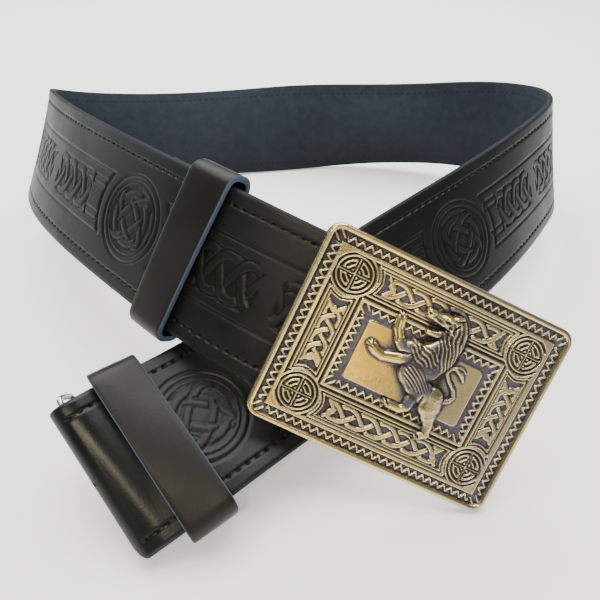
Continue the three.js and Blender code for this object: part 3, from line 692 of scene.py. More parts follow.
def panel(x, y, half_high, half_long, round_at, length, height, wave):
    """A panel with ends that hug the roundels: two frame lines and a plait."""
    to_roundel = np.hypot(np.abs(x) - round_at[0], np.abs(np.abs(y) - round_at[1]))
    distance = np.maximum(np.abs(y) - half_high, 7.75 - to_roundel)
    distance = np.maximum(distance, np.abs(x) - half_long)
    lines = np.maximum(raised(distance + 0.45, 0.42), raised(distance + 1.55, 0.3))
    return lines, cast_plait(x, y, length, height, wave) * inside(distance + 2.0)


print("a cast roundel rises at its middle to", cast_roundel(np.zeros(1), np.zeros(1)).round(2), "of a line")

# %% [markdown]
# ## The lion
#
# A rampant lion, the old emblem of Scottish heraldry, stands on one hind leg across the
# middle. Its limbs are rows of round stations with a place and a thickness: the surface between
# two stations is a cone, and where limbs meet, the higher one shows. A table of stations is easy
# to lay beside the photograph and to correct one limb at a time.

# %% Limbs of the lion
LION = {
    # x, y and radius in mm from the plate's middle, and rise of the limb's side above the plate
    "neck": [(4.8, 19.0, 3.6, 2.8), (6.0, 14.6, 4.2, 3.1), (4.6, 9.4, 5.4, 3.1), (1.8, 5.6, 6.4, 2.8)],
    "ribs": [(0.6, 5.0, 6.0, 2.7), (-0.4, 0.6, 5.4, 2.4), (2.0, -2.4, 4.4, 2.1), (6.4, -4.6, 3.8, 2.0)],
    "haunch": [(8.8, -4.8, 4.4, 2.0), (9.6, -7.6, 4.1, 1.9), (10.9, -10.8, 2.8, 1.7)],
    "shank": [(10.9, -10.8, 2.5, 1.6), (12.3, -13.6, 1.9, 1.5), (12.8, -16.6, 1.6, 1.4)],
    "foot": [(13.0, -16.8, 1.6, 1.4), (11.0, -18.3, 1.5, 1.3)],
    "thigh": [(3.6, -5.4, 2.6, 1.5), (2.6, -8.0, 2.3, 1.4), (2.6, -10.6, 1.9, 1.3)],
    "hock": [(2.6, -10.8, 1.8, 1.3), (0.6, -12.4, 1.6, 1.2), (-3.6, -12.4, 1.5, 1.2)],
    "skull": [(5.0, 20.4, 3.0, 2.9), (2.0, 20.4, 2.7, 2.9), (-1.2, 20.2, 2.2, 2.6), (-4.2, 20.6, 1.7, 2.4)],
    "nose": [(-3.6, 21.4, 1.2, 2.7), (-5.2, 21.6, 1.0, 2.5)],
    "jaw": [(3.6, 16.8, 2.0, 2.2), (0.4, 15.4, 1.5, 2.1), (-2.6, 15.0, 1.1, 2.0)],
    "ear": [(3.8, 22.6, 1.0, 3.0), (6.2, 23.6, 0.6, 2.6)],
    "crest": [(6.6, 21.6, 1.8, 2.4), (8.4, 18.6, 1.8, 2.4), (9.0, 14.6, 1.7, 2.3), (8.4, 9.8, 1.7, 2.1)],
    "upper_arm": [(-3.6, 8.0, 3.0, 2.4), (-7.6, 7.2, 2.3, 2.0), (-9.6, 8.4, 2.0, 1.9)],
    "upper_paw": [(-9.6, 8.4, 1.9, 1.8), (-11.8, 12.0, 1.7, 1.8), (-12.4, 15.2, 1.9, 1.9)],
    "lower_arm": [(-3.6, 5.0, 3.0, 2.3), (-8.2, 2.8, 2.1, 1.9), (-12.6, 1.6, 1.8, 1.7)],
    "lower_paw": [(-12.6, 1.6, 1.8, 1.7), (-15.4, 2.2, 1.8, 1.8), (-16.8, 3.2, 1.8, 1.9)],
    "tail": [
        (12.4, -4.4, 1.2, 1.4), (14.8, -3.2, 1.0, 1.3), (15.6, -1.4, 0.95, 1.3), (14.4, 0.8, 0.9, 1.3),
        (11.4, 3.2, 0.85, 1.3), (9.6, 5.4, 0.85, 1.3), (10.2, 7.2, 0.9, 1.3), (12.2, 7.8, 0.9, 1.3),
    ],
    "tuft": [(12.0, 7.8, 1.0, 1.4), (14.0, 7.0, 1.2, 1.4), (16.2, 4.8, 0.5, 1.2)],
    "tuft_top": [(12.2, 8.0, 0.8, 1.3), (14.0, 8.6, 0.7, 1.2), (15.8, 7.6, 0.35, 1.1)],
    "chest_lock": [(-3.6, 9.4, 1.2, 2.3), (-5.6, 10.8, 0.4, 2.0)],
}
print("the lion has", len(LION), "limbs and locks")

# %% From stations and strokes to height


def limb_height(x, y, stations):
    best = np.full_like(x, -1.0)
    for (x0, y0, r0, h0), (x1, y1, r1, h1) in zip(stations, stations[1:]):
        distance, t = segment_distance(x, y, (x0, y0), (x1, y1))
        radius = r0 + (r1 - r0) * t
        rise = h0 + (h1 - h0) * t
        dome = np.sqrt(np.clip(1 - (distance / radius) ** 2, 0, 1))
        height = rise * (0.3 + 0.7 * dome) + 0.2 * radius * dome
        best = np.maximum(best, np.where(distance < radius, height, -1))
    return best


def strokes(x, y, lines, half, depth):
    """Fine raised or sunken strokes along short lines."""
    change = np.zeros_like(x)
    for a, b in lines:
        distance, t = segment_distance(x, y, a, b)
        width = half * (0.45 + 0.55 * np.sin(np.pi * np.clip(t, 0.02, 0.98)))
        change += depth * np.clip(1 - (distance / width) ** 2, 0, 1)
    return change


def within(x, y, centre, reach_x, reach_y, lean=0.0, fall=5.0):
    """1 inside a leaning oval, falling softly to 0 at its edge."""
    c, s = math.cos(math.radians(lean)), math.sin(math.radians(lean))
    dx, dy = x - centre[0], y - centre[1]
    level = np.hypot((dx * c + dy * s) / reach_x, (dy * c - dx * s) / reach_y)
    return np.clip((1 - level) * fall, 0, 1)


head_top = limb_height(np.array([2.0]), np.array([20.4]), LION["skull"])
print("the lion's head rises", head_top.round(2), "mm")

# %% [markdown]
# ## Mane, ribs, face and paws
#
# A founder usually cuts such details into the pattern with a graver, after the limbs are rounded.
# Here too they come last: wavy sines make the locks and folds, and each stays inside a soft oval.
# Short strokes, raised or sunken, draw the face and the claws.

# %% The lion's whole height
GRAVED = [
    # lines from point to point, their half width, and their height or depth in mm
    # the lines between belly and haunch, and between shoulder and forelegs
    ([((5.4, -5.0), (5.6, -9.0)), ((-5.2, 6.0), (-8.6, 5.0))], 0.6, -0.5),
    # brow and cheek, and the whiskers
    ([((0.4, 21.8), (3.2, 21.4)), ((2.0, 18.6), (4.6, 17.4))], 0.75, 0.6),
    ([((-2.4, 19.4), (0.6, 18.6)), ((-3.6, 19.9), (-1.2, 19.2))], 0.5, 0.4),
    # eye and nostril, mouth and the fold before the ear
    ([((0.6, 20.6), (2.2, 20.3)), ((-5.4, 21.0), (-4.6, 20.7))], 0.6, -0.8),
    ([((-4.4, 18.9), (3.0, 18.0)), ((5.6, 21.4), (4.2, 19.0))], 0.55, -0.8),
]


def lion_height(x, y):
    body = np.maximum.reduce([limb_height(x, y, stations) for stations in LION.values()])
    shape = body > 0
    change = np.zeros_like(x)
    # mane: wavy locks that fall from the crest over the neck and the chest
    bend = 1.3 * np.sin(0.42 * y + 0.3 * x)
    locks = np.sin(4.4 * (0.92 * x + 0.38 * y + 0.35 * bend) + 1.4 * np.sin(0.9 * y))
    change += 0.22 * locks * within(x, y, (6.2, 13.0), 4.6, 9.4, 12)
    tufts = np.sin(4.2 * (0.55 * x + 0.85 * y) + 1.6 * np.sin(1.1 * x - 0.3 * y))
    change += 0.2 * tufts * within(x, y, (-0.6, 7.6), 5.4, 3.4, -8)
    # ribs: curved folds across the belly
    rib = np.sin(5.4 * (0.45 * x + 0.9 * y + 0.035 * (x + 2) ** 2))
    change += 0.2 * rib * within(x, y, (0.6, -0.8), 5.8, 3.6, -25)
    for lines, half, depth in GRAVED:
        change += strokes(x, y, lines, half, depth)
    toes = []
    paws = ((-12.4, 15.8, 100), (-17.2, 3.4, 150), (-4.2, -12.4, 180), (10.4, -18.6, 200))
    for px, py, heading in paws:
        for spread in (-34, 0, 34):
            a = math.radians(heading + spread)
            toes.append(((px, py), (px + 1.7 * math.cos(a), py + 1.7 * math.sin(a))))
    claws = strokes(x, y, toes, 0.55, 1.0)
    body = np.where(shape, np.maximum(body + change, 0.4), body)
    return np.where(claws > 0.12, np.maximum(body, 0.7 + 1.5 * claws), body)


print("at its neck the lion rises", lion_height(np.array([4.6]), np.array([9.4])).round(2), "mm")

# %% [markdown]
# ## The buckle as one mesh
#
# The grid is about a quarter of a millimetre fine, which is what the thinnest line needs. Its rows
# get shorter near the top and bottom, so that the plate has round corners. The plate's flat back,
# the two posts with their bar, and the hook behind the free end are added to the same mesh,
# because they are soldered on.

# %% Height of the plate's face


def drawn_at(x):
    """The ornament's own x: cast a little nearer the free end, most of all in the middle."""
    return x - ORNAMENT_SHIFT * (1 - (x / (PLATE_LONG / 2)) ** 2)


def plate_height(x, y):
    edge = -rectangle_distance(x, y, PLATE_LONG / 2, PLATE_HIGH / 2, PLATE_CORNER)
    x = drawn_at(x)
    rim = np.sqrt(np.clip(1 - ((edge - RIM / 2) / (RIM / 2 + 0.05)) ** 2, 0, 1)) * RIM_RISE
    ledge = raised(edge - 6.3, 0.72)
    outer = zigzag(x, y, PLATE_LONG / 2 - 3.95, PLATE_HIGH / 2 - 3.95, 2.9, 0.82, 0.38)
    inner = zigzag(x, y, 24.2, 13.3, 2.9, 0.75, 0.34)
    inner_frame = raised(rectangle_distance(x, y, 26.6, 15.9, 0.4) + 0.6, 0.62)
    field = inside(rectangle_distance(x, y, 21.5, 10.75, 1.6), 0.5)
    ax, ay = np.abs(x) - ROUNDEL_X, np.abs(y) - ROUNDEL_Y
    r = np.hypot(ax, ay)
    corner = inside(np.maximum(r - 7.6, 6.2 - edge)) * inside(ROUNDEL_SIZE - 0.05 - r)
    outward = inside(np.maximum(np.maximum(-ax, -ay), 6.2 - edge)) * inside(ROUNDEL_SIZE - r)
    roundel = np.where(r < ROUNDEL_SIZE, cast_roundel(ax, ay), 0)
    top_lines, top_knot = panel(x, np.abs(y) - 22.3, 5.5, 26, (ROUNDEL_X, -0.7), 41.5, 7.4, 20.75)
    side_lines, side_knot = panel(y, np.abs(x) - 32.6, 5.2, 15.4, (ROUNDEL_Y, -1.0), 20.5, 7.2, 15.4)
    lines = np.maximum.reduce([ledge, inner_frame, corner, outward, top_lines, side_lines, roundel])
    rise = np.maximum.reduce([
        rim, LINE_RISE * lines, ZIGZAG_RISE * np.maximum(outer, inner),
        STRAND_RISE * np.maximum(top_knot, side_knot), FIELD_RISE * field,
    ])
    return rise


rim_top = plate_height(np.array([PLATE_LONG / 2 - RIM / 2]), np.zeros(1))
print("the rim stands", rim_top.round(2), "mm above the plate")

# %% The plate's grid and its whole relief
GRID = 0.275
ys = np.linspace(-PLATE_HIGH / 2, PLATE_HIGH / 2, round(PLATE_HIGH / GRID) + 1)
past_corner = np.clip(np.abs(ys) - PLATE_HIGH / 2 + PLATE_CORNER, 0, None)
corner_inset = PLATE_CORNER - np.sqrt(np.clip(PLATE_CORNER**2 - past_corner**2, 0, None))
us = np.linspace(-1, 1, round(PLATE_LONG / GRID) + 1)
X = us[None, :] * (PLATE_LONG / 2 - corner_inset)[:, None]
Y = np.broadcast_to(ys[:, None], X.shape)
cast = plate_height(X, Y)
lion = lion_height(drawn_at(X), Y)
on_lion = lion > 0
rise = np.maximum(cast, np.where(on_lion, lion + 0.2, 0))
print("the relief rises", round(float(rise.max()), 2), "mm above the plate")

# %% [markdown]
# ## Where the dark film stays
#
# The caster blackens the whole plate and then rubs it. The cloth reaches the high places and
# misses the hollows, so the film can be worked out from the relief: blur the height a little, and
# what lies below the blurred surface is a hollow, what stands above it is a worn edge.

# %% Hollows, worn edges and the lion's rubbed places


def blur(grid, reach):
    """A soft average over neighbours, used to find hollows between raised forms."""
    kernel = np.exp(-0.5 * (np.arange(-2 * reach, 2 * reach + 1) / reach) ** 2)
    kernel /= kernel.sum()
    for axis in (0, 1):
        margins = [(0, 0), (0, 0)]
        margins[axis] = (2 * reach, 2 * reach)
        padded = np.pad(grid, margins, mode="edge")
        size = grid.shape[axis]
        grid = sum(w * np.take(padded, range(i, i + size), axis) for i, w in enumerate(kernel))
    return grid


fine, broad = blur(rise, 2), blur(rise, 10)
hollow = np.clip((fine - rise) / 0.24, 0, 1.15)
ground = 0.8 * np.clip(1 - (rise - 0.1) / 0.4, 0, 1)
beside_lion = np.clip((broad - np.maximum(rise, 0.9)) / 0.5, 0, 1.1)
# on the lion only these ovals are rubbed bright: haunch, shank, forelegs, hind foot, brow and nose
RUBBED = [
    ((9.0, -7.4), 5.6, 8.0, 0), ((12.0, -13.6), 2.6, 6.4, 12), ((-11.6, 2.6), 6.8, 2.2, 0),
    ((-11.4, 12.4), 2.0, 5.0, 8), ((-0.8, -12.0), 4.6, 1.8, 0), ((1.0, 21.8), 5.0, 1.9, 0),
    ((-4.6, 21.6), 2.0, 1.7, 0), ((11.6, -18.0), 3.2, 1.8, 0),
]
rubbed = np.maximum.reduce([within(drawn_at(X), Y, *oval, fall=1.8) for oval in RUBBED])
lion_film = np.clip(1.0 - 0.9 * rubbed + (fine - rise) / 0.22, 0, 1.15)
blackened = np.where(on_lion, lion_film, np.maximum.reduce([hollow, ground, beside_lion]))
worn = np.clip((rise - fine) / 0.22, 0, 1)
# painted reflection: the plate's gold is greyed towards the free end
painted_reflection_grey = np.clip((X + 12) / 55, 0, 1) * 0.75
print("share of the plate under film:", round(float(np.clip(blackened, 0, 1).mean()), 2))

# %% The plate's face, rim and back as one skin
PLATE_DROP, PLATE_TURN, PLATE_TO_STRAP = 1.7, 3.5, 2.4
BAR_X = -PLATE_LONG / 2 + 14
BAR_DEPTH = PLATE_TO_STRAP + STRAP_THICK + SEAT + BAR_RADIUS
rows, columns = X.shape
face_points = np.stack([X, Y, PLATE_THICK + rise], -1).reshape(-1, 3)
face_list = grid_faces(rows, columns).tolist()
loop = list(range(columns))
loop += [r * columns + columns - 1 for r in range(1, rows)]
loop += [(rows - 1) * columns + c for c in range(columns - 2, -1, -1)]
loop += [r * columns for r in range(rows - 2, 0, -1)]
back_ring = face_points[loop].copy()
back_ring[:, 2] = 0
inset_ring = back_ring.copy()
inset_ring[:, :2] *= 0.99
mid_ring = back_ring.copy()
mid_ring[:, 2] = 0.5
start = len(face_points)
count = len(loop)
for i in range(count):
    j = (i + 1) % count
    face_list.append([start + j, start + i, loop[i], loop[j]])
    face_list.append([start + count + j, start + count + i, start + i, start + j])
face_list.append([start + count + i for i in range(count - 1, -1, -1)])
plate_points = np.concatenate([face_points, mid_ring, inset_ring])
print("the plate has", rows, "by", columns, "points on its face")

# %% Helpers for the soldered bar, posts and hook


def capped(rings, sides):
    """Faces of a stack of rings with both ends closed."""
    faces = grid_faces(rings, sides, close_columns=True).tolist()
    faces.append(list(range(sides - 1, -1, -1)))
    faces.append(list(range((rings - 1) * sides, rings * sides)))
    return faces


def round_bar(radius, length, x, y, z, sides=20, bevel=0.3):
    """A bar along y with a small bevel at each end."""
    angle = np.linspace(0, 2 * np.pi, sides, endpoint=False)
    half = length / 2
    rings = []
    for step, share in ((-half, 0.8), (bevel - half, 1), (half - bevel, 1), (half, 0.8)):
        sideways, deep = radius * share * np.cos(angle), radius * share * np.sin(angle)
        rings.append(np.stack([x + sideways, np.full(sides, y + step), z + deep], -1))
    return np.concatenate(rings), capped(len(rings), sides)


def soft_block(low, high, soft):
    """A box with its upright edges rounded, for posts and the hook."""
    low, high = np.array(low, float), np.array(high, float)
    middle, half = (low + high) / 2, (high - low) / 2
    ring = []
    for side_x, side_y, start_angle in ((1, 1, 0), (-1, 1, 90), (-1, -1, 180), (1, -1, 270)):
        for a in np.radians(start_angle + np.linspace(0, 90, 5)):
            x = side_x * (half[0] - soft) + soft * math.cos(a)
            y = side_y * (half[1] - soft) + soft * math.sin(a)
            ring.append((x, y))
    levels = [(-half[2], 0.86), (soft * 0.6 - half[2], 1), (half[2] - soft * 0.6, 1), (half[2], 0.86)]
    layers = []
    for z, share in levels:
        layers.append([[middle[0] + x * share, middle[1] + y * share, middle[2] + z] for x, y in ring])
    return np.array(layers).reshape(-1, 3), capped(len(levels), len(ring))


print("a block has", len(soft_block((0, 0, 0), (3, 3, 9), 0.6)[0]), "points")

# %% Solder bar, posts and hook to the plate
POST_GAP, POST_WIDE = 0.8, 3.0
HOOK_INSET, HOOK_WIDE, HOOK_REACH, HOOK_THICK, HOOK_THROAT = 10.0, 14.0, 13.0, 2.0, 4.6
INTO_PLATE, INTO_FOOT, POST_SOFT, HOOK_SOFT = 0.3, 0.5, 0.6, 0.5
reach = STRAP_WIDTH / 2 + POST_GAP
fittings = []
for y in (PLATE_DROP + reach, PLATE_DROP - reach - POST_WIDE):
    low = (BAR_X - BAR_RADIUS, y, -BAR_DEPTH - BAR_RADIUS)
    high = (BAR_X + BAR_RADIUS, y + POST_WIDE, INTO_PLATE)
    fittings.append(soft_block(low, high, POST_SOFT))
fittings.append(round_bar(BAR_RADIUS, 2 * reach + 1, BAR_X, PLATE_DROP, -BAR_DEPTH))
hook_x = PLATE_LONG / 2 - HOOK_INSET
hook_back = -HOOK_THROAT - HOOK_THICK
foot_low = (hook_x - HOOK_THICK, -HOOK_WIDE / 2, hook_back)
fittings.append(soft_block(foot_low, (hook_x, HOOK_WIDE / 2, INTO_PLATE), HOOK_SOFT))
tongue_low = (hook_x - HOOK_REACH, -HOOK_WIDE / 2, hook_back)
tongue_high = (hook_x - HOOK_THICK + INTO_FOOT, HOOK_WIDE / 2, -HOOK_THROAT)
fittings.append(soft_block(tongue_low, tongue_high, HOOK_SOFT))
points, faces = join_lists([(plate_points, face_list), *fittings])

# %% Set the buckle on the strap's end
end_point, end_along, end_up, end_out = (part[0] for part in frame_at(buckle_leg, [BUCKLE_LEG]))
turn = math.radians(PLATE_TURN)
plate_along = end_along * math.cos(turn) - end_out * math.sin(turn)
plate_out = end_out * math.cos(turn) + end_along * math.sin(turn)
basis = np.stack([plate_along, end_up, plate_out], 1)
bar = end_point - end_out * (BAR_RADIUS + SEAT + STRAP_THICK)
plate_origin = bar - basis @ np.array([BAR_X, PLATE_DROP, -BAR_DEPTH])
spare = len(points) - rows * columns
values = {
    "blackened": np.concatenate([blackened.ravel(), np.full(spare, 0.2)]),
    "worn": np.concatenate([worn.ravel(), np.zeros(spare)]),
    "painted_reflection_grey": np.concatenate([painted_reflection_grey.ravel(), np.full(spare, 0.6)]),
}
buckle = build("buckle_cast", points @ basis.T + plate_origin, faces, values)

# %% [markdown]
# ## The wire loop
#
# The hook of the buckle catches a loop of steel wire that sits in the fold of the other end. In
# the photograph only a bent corner of it shows past the upper edge. Here it is made as a closed
# ring of round wire, swung back behind the strap: a tube swept round four bends. The folded tail
# is trimmed along its lower edge, which makes room for the lower side of the ring.

# %% Build the wire loop
WIRE_SIDE_GAP, WIRE_INSET, WIRE_SPAN, WIRE_SWING, WIRE_BEND = 1.7, 2.5, 7.5, 65.0, 2.0
WIRE_SIDES = 16


def wire_loop():
    point, along, up, out = (part[0] for part in frame_at(hook_leg, [HOOK_LEG]))
    seat = point - out * (WIRE_RADIUS + SEAT + STRAP_THICK)
    swing = math.radians(WIRE_SWING)
    back = -along * math.cos(swing) - out * math.sin(swing)
    face = np.cross(up, back)
    top = STRAP_WIDTH / 2 + WIRE_SIDE_GAP + WIRE_RADIUS
    bottom = -STRAP_WIDTH / 2 + WIRE_INSET + WIRE_RADIUS
    corners = [
        (top - WIRE_BEND, WIRE_BEND, -90), (top - WIRE_BEND, WIRE_SPAN - WIRE_BEND, 0),
        (bottom + WIRE_BEND, WIRE_SPAN - WIRE_BEND, 90), (bottom + WIRE_BEND, WIRE_BEND, 180),
    ]
    rings = []
    for v, reach, heading in corners:
        for sweep in np.linspace(0, 90, 9):
            turn = math.radians(heading + sweep)
            ring = []
            for a in np.linspace(0, 2 * np.pi, WIRE_SIDES, endpoint=False):
                radial = WIRE_BEND + WIRE_RADIUS * math.cos(a)
                across = up * (v + radial * math.cos(turn))
                behind = back * (reach + radial * math.sin(turn))
                ring.append(seat + across + behind + face * WIRE_RADIUS * math.sin(a))
            rings.append(ring)
    faces = grid_faces(len(rings), WIRE_SIDES, close_rows=True, close_columns=True, flip=True)
    return np.array(rings).reshape(-1, 3), faces


wire = build("wire_loop", *wire_loop())

# %% [markdown]
# ## Black leather
#
# The strap looks like bridle leather, dyed black and waxed: satin, with a very fine grain, a little
# paler where the wax lies thicker, and more polished at the fold, where it is handled. Its embossed
# grooves are coloured near black as painted shade. The inner side is left as suede, blue black and
# mottled, with painted shade that darkens it lower down, and a cut edge is blue grey and rough. One
# material can read the numbers stored on the mesh and mix all of these. A recipe with one short
# method for each kind of node keeps that readable.

# %% A recipe that adds shader nodes


class Recipe:
    """A material in the making: each method adds a node and hands back what it puts out."""

    def __init__(self, name):
        self.material = bpy.data.materials.new(name)
        self.material.use_nodes = True
        self.nodes = self.material.node_tree.nodes
        self.links = self.material.node_tree.links
        self.shader = self.nodes["Principled BSDF"]

    def fill(self, node, values):
        """Fills sockets by name or place: an output is linked, a number or colour is set."""
        for socket, value in values.items():
            if hasattr(value, "links"):
                self.links.new(value, node.inputs[socket])
            else:
                node.inputs[socket].default_value = (*value, 1) if isinstance(value, tuple) else value

    def stored(self, name):
        node = self.nodes.new("ShaderNodeAttribute")
        node.attribute_name = name
        return node.outputs["Fac"]

    def blend(self, factor, a, b):
        node = self.nodes.new("ShaderNodeMix")
        node.data_type = "RGBA"
        self.fill(node, {"Factor": factor, "A": a, "B": b})
        return node.outputs["Result"]

    def spread(self, value, low, high, to_low, to_high):
        node = self.nodes.new("ShaderNodeMapRange")
        self.fill(node, {"Value": value, "From Min": low, "From Max": high})
        self.fill(node, {"To Min": to_low, "To Max": to_high})
        return node.outputs["Result"]

    def calculate(self, operation, a, b=0.0):
        node = self.nodes.new("ShaderNodeMath")
        node.operation = operation
        self.fill(node, {0: a, 1: b})
        return node.outputs["Value"]

    def texture(self, kind, scale):
        node = self.nodes.new(kind)
        place = self.nodes.new("ShaderNodeTexCoord")
        self.fill(node, {"Vector": place.outputs["Object"], "Scale": scale})
        return node

    def mottle(self, scale, detail=4.0, roughness=0.55):
        node = self.texture("ShaderNodeTexNoise", scale)
        self.fill(node, {"Detail": detail, "Roughness": roughness})
        return node.outputs["Fac"]

    def bumps(self, height, distance, strength, before=None):
        node = self.nodes.new("ShaderNodeBump")
        self.fill(node, {"Distance": distance, "Strength": strength, "Height": height})
        if before is not None:
            self.links.new(before, node.inputs["Normal"])
        return node.outputs["Normal"]

# %% Stitches as they show on the inner side


def inner_stitches(make):
    """Dark dots in two rows, where the thread comes through to the inner side."""
    off = make.calculate("ABSOLUTE", make.stored("across"))
    off = make.calculate("ABSOLUTE", make.calculate("SUBTRACT", off, STITCH_LINE))
    row = make.spread(off, 0.3, 0.9, 1, 0)
    beat = make.calculate("DIVIDE", make.stored("run"), STITCH_PITCH)
    beat = make.calculate("ABSOLUTE", make.calculate("FRACT", beat))
    dot = make.spread(beat, 0.45, 0.55, 0, 1)
    return make.calculate("MULTIPLY", row, dot)

# %% [markdown]
# ## Four surfaces in one leather
#
# Strap and keepers look like the same hide, so one recipe makes both. It mixes the waxed face, the
# grooves with their thread, the suede and the cut edge, each switched on by a number stored on the
# mesh. The keepers have no stitches, and none of their suede shows.

# %% The leather


def leather(name, face, face_pale, suede, cut, stitched):
    make = Recipe(name)
    patches = make.spread(make.mottle(22, 3), 0.35, 0.7, 0, 1)
    colour = make.blend(patches, face, face_pale)
    if stitched:
        # painted shade: the embossed grooves are coloured near black
        pressed = make.spread(make.stored("pressed"), -0.2, -1.0, 0, 1)
        colour = make.blend(pressed, colour, (0.002, 0.002, 0.002))
        colour = make.blend(make.stored("thread"), colour, (0.003, 0.003, 0.004))
    fuzz = make.spread(make.mottle(170, 9, 0.72), 0.3, 0.72, 0, 1)
    cloud = make.spread(make.mottle(14, 2), 0.35, 0.65, 0.25, 0.75)
    fuzz = make.calculate("MULTIPLY", make.calculate("ADD", fuzz, cloud), 0.5)
    fuzzy = make.blend(fuzz, tuple(c * 0.35 for c in suede), suede)
    is_cut = make.stored("cut_edge")
    soft = is_cut
    if stitched:
        dots = make.calculate("MULTIPLY", inner_stitches(make), 0.4)
        fuzzy = make.blend(dots, fuzzy, (0.006, 0.007, 0.01))
        # painted shade: the suede is darkened towards its lower edge
        painted_low_shade = make.spread(make.stored("across"), 18, -26, 0, 0.55)
        fuzzy = make.blend(painted_low_shade, fuzzy, (0.008, 0.009, 0.012))
        is_suede = make.stored("suede")
        colour = make.blend(is_suede, colour, fuzzy)
        soft = make.calculate("MAXIMUM", is_suede, is_cut)
    fibres = make.blend(fuzz, cut, tuple(c * 0.6 for c in cut))
    colour = make.blend(is_cut, colour, fibres)
    rough = make.spread(make.mottle(45, 4), 0.3, 0.7, 0.36, 0.5)
    rough = make.calculate("ADD", rough, make.calculate("MULTIPLY", soft, 0.45))
    if stitched:
        polish = make.calculate("MULTIPLY", make.stored("handled"), -0.12)
        rough = make.calculate("ADD", rough, polish)
    make.shader.inputs["Specular IOR Level"].default_value = 0.24
    grain = make.mottle(1300, 3)
    normal = make.bumps(grain, 0.00007, 0.6)
    creases = make.mottle(180, 6, 0.62)
    normal = make.bumps(creases, 0.0002, 0.3, normal)
    make.fill(make.shader, {"Base Color": colour, "Roughness": rough, "Normal": normal})
    return make.material


STRAP_BLACK, STRAP_WAXED = (0.004, 0.005, 0.005), (0.009, 0.01, 0.009)
KEEPER_BLACK, KEEPER_WAXED = (0.006, 0.006, 0.006), (0.012, 0.011, 0.009)
SUEDE, CUT_STRAP, CUT_KEEPER = (0.035, 0.046, 0.066), (0.02, 0.024, 0.03), (0.09, 0.13, 0.19)
strap_leather = leather("strap_leather", STRAP_BLACK, STRAP_WAXED, SUEDE, CUT_STRAP, True)
keeper_leather = leather("keeper_leather", KEEPER_BLACK, KEEPER_WAXED, SUEDE, CUT_KEEPER, False)
for length in strap_parts:
    length.data.materials.append(strap_leather)
for ring in (keeper_near_buckle, keeper_near_hook):
    ring.data.materials.append(keeper_leather)
print("finishes:", strap_leather.name, "and", keeper_leather.name)

# %% [markdown]
# ## Antique brass and steel wire
#
# Antique brass is plated or cast brass that is dipped to turn it black and then rubbed back. The
# hollows keep a dark grey violet film, the high places are pale gold, and a painted reflection
# makes them greyer towards the free end.
# The mesh already knows where its hollows are, so the film follows them, with a little noise
# where the rubbing was uneven. The steel wire is plain and bright.

# %% The brass


def antique_brass():
    make = Recipe("antique_brass")
    patches = make.spread(make.mottle(32, 4), 0.32, 0.68, 0, 1)
    gold = make.blend(patches, (0.56, 0.36, 0.05), (0.54, 0.4, 0.11))
    bright = make.calculate("MULTIPLY", make.stored("worn"), 0.8)
    gold = make.blend(bright, gold, (0.95, 0.8, 0.38))
    # painted reflection: the gold turns greyer towards the free end
    gold = make.blend(make.stored("painted_reflection_grey"), gold, (0.38, 0.35, 0.24))
    specks = make.spread(make.mottle(850, 4), 0.3, 0.7, -0.1, 0.08)
    smoke = make.spread(make.mottle(32, 1), 0.36, 0.64, 0, 0.36)
    film = make.calculate("ADD", make.stored("blackened"), specks)
    film = make.calculate("ADD", film, smoke)
    deepest = make.spread(film, 0.85, 1.25, 0, 1)
    film = make.spread(film, 0.1, 0.85, 0, 0.95)
    dark = make.blend(deepest, (0.095, 0.095, 0.145), (0.014, 0.013, 0.016))
    filmed = make.blend(film, gold, dark)
    metal = make.spread(film, 0, 1, 1, 0.75)
    rough = make.spread(film, 0, 1, 0.17, 0.32)
    fine = make.spread(make.mottle(300, 4), 0.3, 0.7, -0.05, 0.08)
    rough = make.calculate("ADD", rough, fine)
    stipple = make.texture("ShaderNodeTexVoronoi", 1700)
    dots = make.calculate("MULTIPLY", stipple.outputs["Distance"], film)
    normal = make.bumps(dots, 0.00022, 0.7)
    normal = make.bumps(make.mottle(420, 4), 0.00005, 0.4, normal)
    make.fill(make.shader, {"Base Color": filmed, "Metallic": metal})
    make.fill(make.shader, {"Roughness": rough, "Normal": normal})
    return make.material


def steel_wire():
    make = Recipe("steel_wire")
    tone = make.blend(make.mottle(400, 3), (0.55, 0.56, 0.56), (0.7, 0.7, 0.68))
    rough = make.spread(make.mottle(700, 2), 0.3, 0.7, 0.18, 0.32)
    make.shader.inputs["Metallic"].default_value = 1
    make.fill(make.shader, {"Base Color": tone, "Roughness": rough})
    return make.material


buckle.data.materials.append(antique_brass())
wire.data.materials.append(steel_wire())
print("finishes:", buckle.data.materials[0].name, "and", wire.data.materials[0].name)
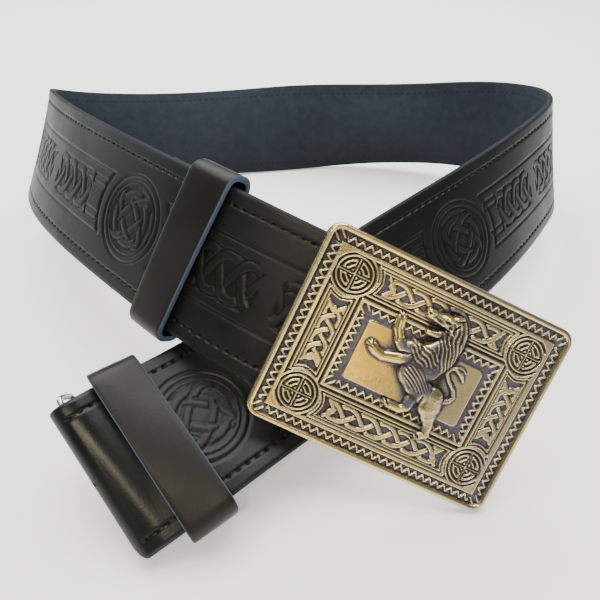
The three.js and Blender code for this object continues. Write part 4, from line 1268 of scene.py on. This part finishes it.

# %% [markdown]
# ## Dressing the solids
#
# Each drawn piece stands for one of the plain solids, which is hidden, and rides on a body. The
# strap, the keepers and the wire loop move together; the buckle turns on its bar, so it rides alone.
# A piece that rides on its body needs no animation here.

# %% Say what each piece stands for and what it rides on
for piece, node, slot, body in (
    (strap_parts[0], "strap", "black_leather", "belt"),
    (strap_parts[1], "strap", "black_leather", "belt"),
    (keeper_near_buckle, "keeper_buckle_end", "black_leather", "belt"),
    (keeper_near_hook, "keeper_hook_end", "black_leather", "belt"),
    (wire, "catch_loop", "steel_wire", "belt"),
    (buckle, "buckle", "antique_brass", "buckle"),
):
    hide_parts(node)
    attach(piece, body)
    print(piece.name, "stands for", node, "and rides on", body)

# %% [markdown]
# ## Floor and light
#
# The belt was photographed on white under a broad soft light. A pale floor that glows a little,
# like a light table, under a pale sky gives the same quiet ground. One broad lamp above and behind
# lights it without reaching the black faces in front, and four smaller lamps put the soft streaks
# on the leather and the brass.

# %% Floor, sky and lamps
bpy.ops.mesh.primitive_plane_add(size=8)
floor = bpy.context.object
floor.name = "floor"
floor_recipe = Recipe("pale_floor")
shader = floor_recipe.shader
shader.inputs["Base Color"].default_value = (0.95, 0.95, 0.95, 1)
shader.inputs["Roughness"].default_value = 0.8
shader.inputs["Emission Color"].default_value = (1, 1, 1, 1)
shader.inputs["Emission Strength"].default_value = 0.42
floor.data.materials.append(floor_recipe.material)

world = bpy.data.worlds.new("pale_sky")
bpy.context.scene.world = world
world.use_nodes = True
world.node_tree.nodes["Background"].inputs["Color"].default_value = (1, 1, 1, 1)
world.node_tree.nodes["Background"].inputs["Strength"].default_value = 0.3


def lamp(name, place, aim, size, power, colour):
    light = bpy.data.lights.new(name, "AREA")
    light.size = size
    light.energy = power
    light.color = colour
    made = bpy.data.objects.new(name, light)
    made.location = place
    made.rotation_mode = "QUATERNION"
    made.rotation_quaternion = (Vector(aim) - Vector(place)).to_track_quat("-Z", "Y")
    bpy.context.scene.collection.objects.link(made)


lamp("broad_light_above", (0.0, 0.5, 1.25), (0, 0, 0), 1.5, 50, (1, 0.99, 0.98))
lamp("window_behind_left", (-1.2, 0.6, 0.6), (0, 0, 0.05), 0.8, 4, (0.93, 0.97, 1))
lamp("soft_light_in_front_right", (0.5, -1.25, 0.3), (0.05, -0.11, 0.04), 0.5, 0.55, (0.97, 0.98, 1))
lamp("warm_light_in_front", (0.1, -1.25, 0.42), (0.02, -0.11, 0.04), 0.35, 1.15, (1, 0.84, 0.54))
lamp("warm_light_over_hook_end", (-0.12, -0.82, 0.94), (-0.06, -0.13, 0.02), 0.14, 4.5, (1, 0.88, 0.62))
print("five soft lamps and a pale floor")
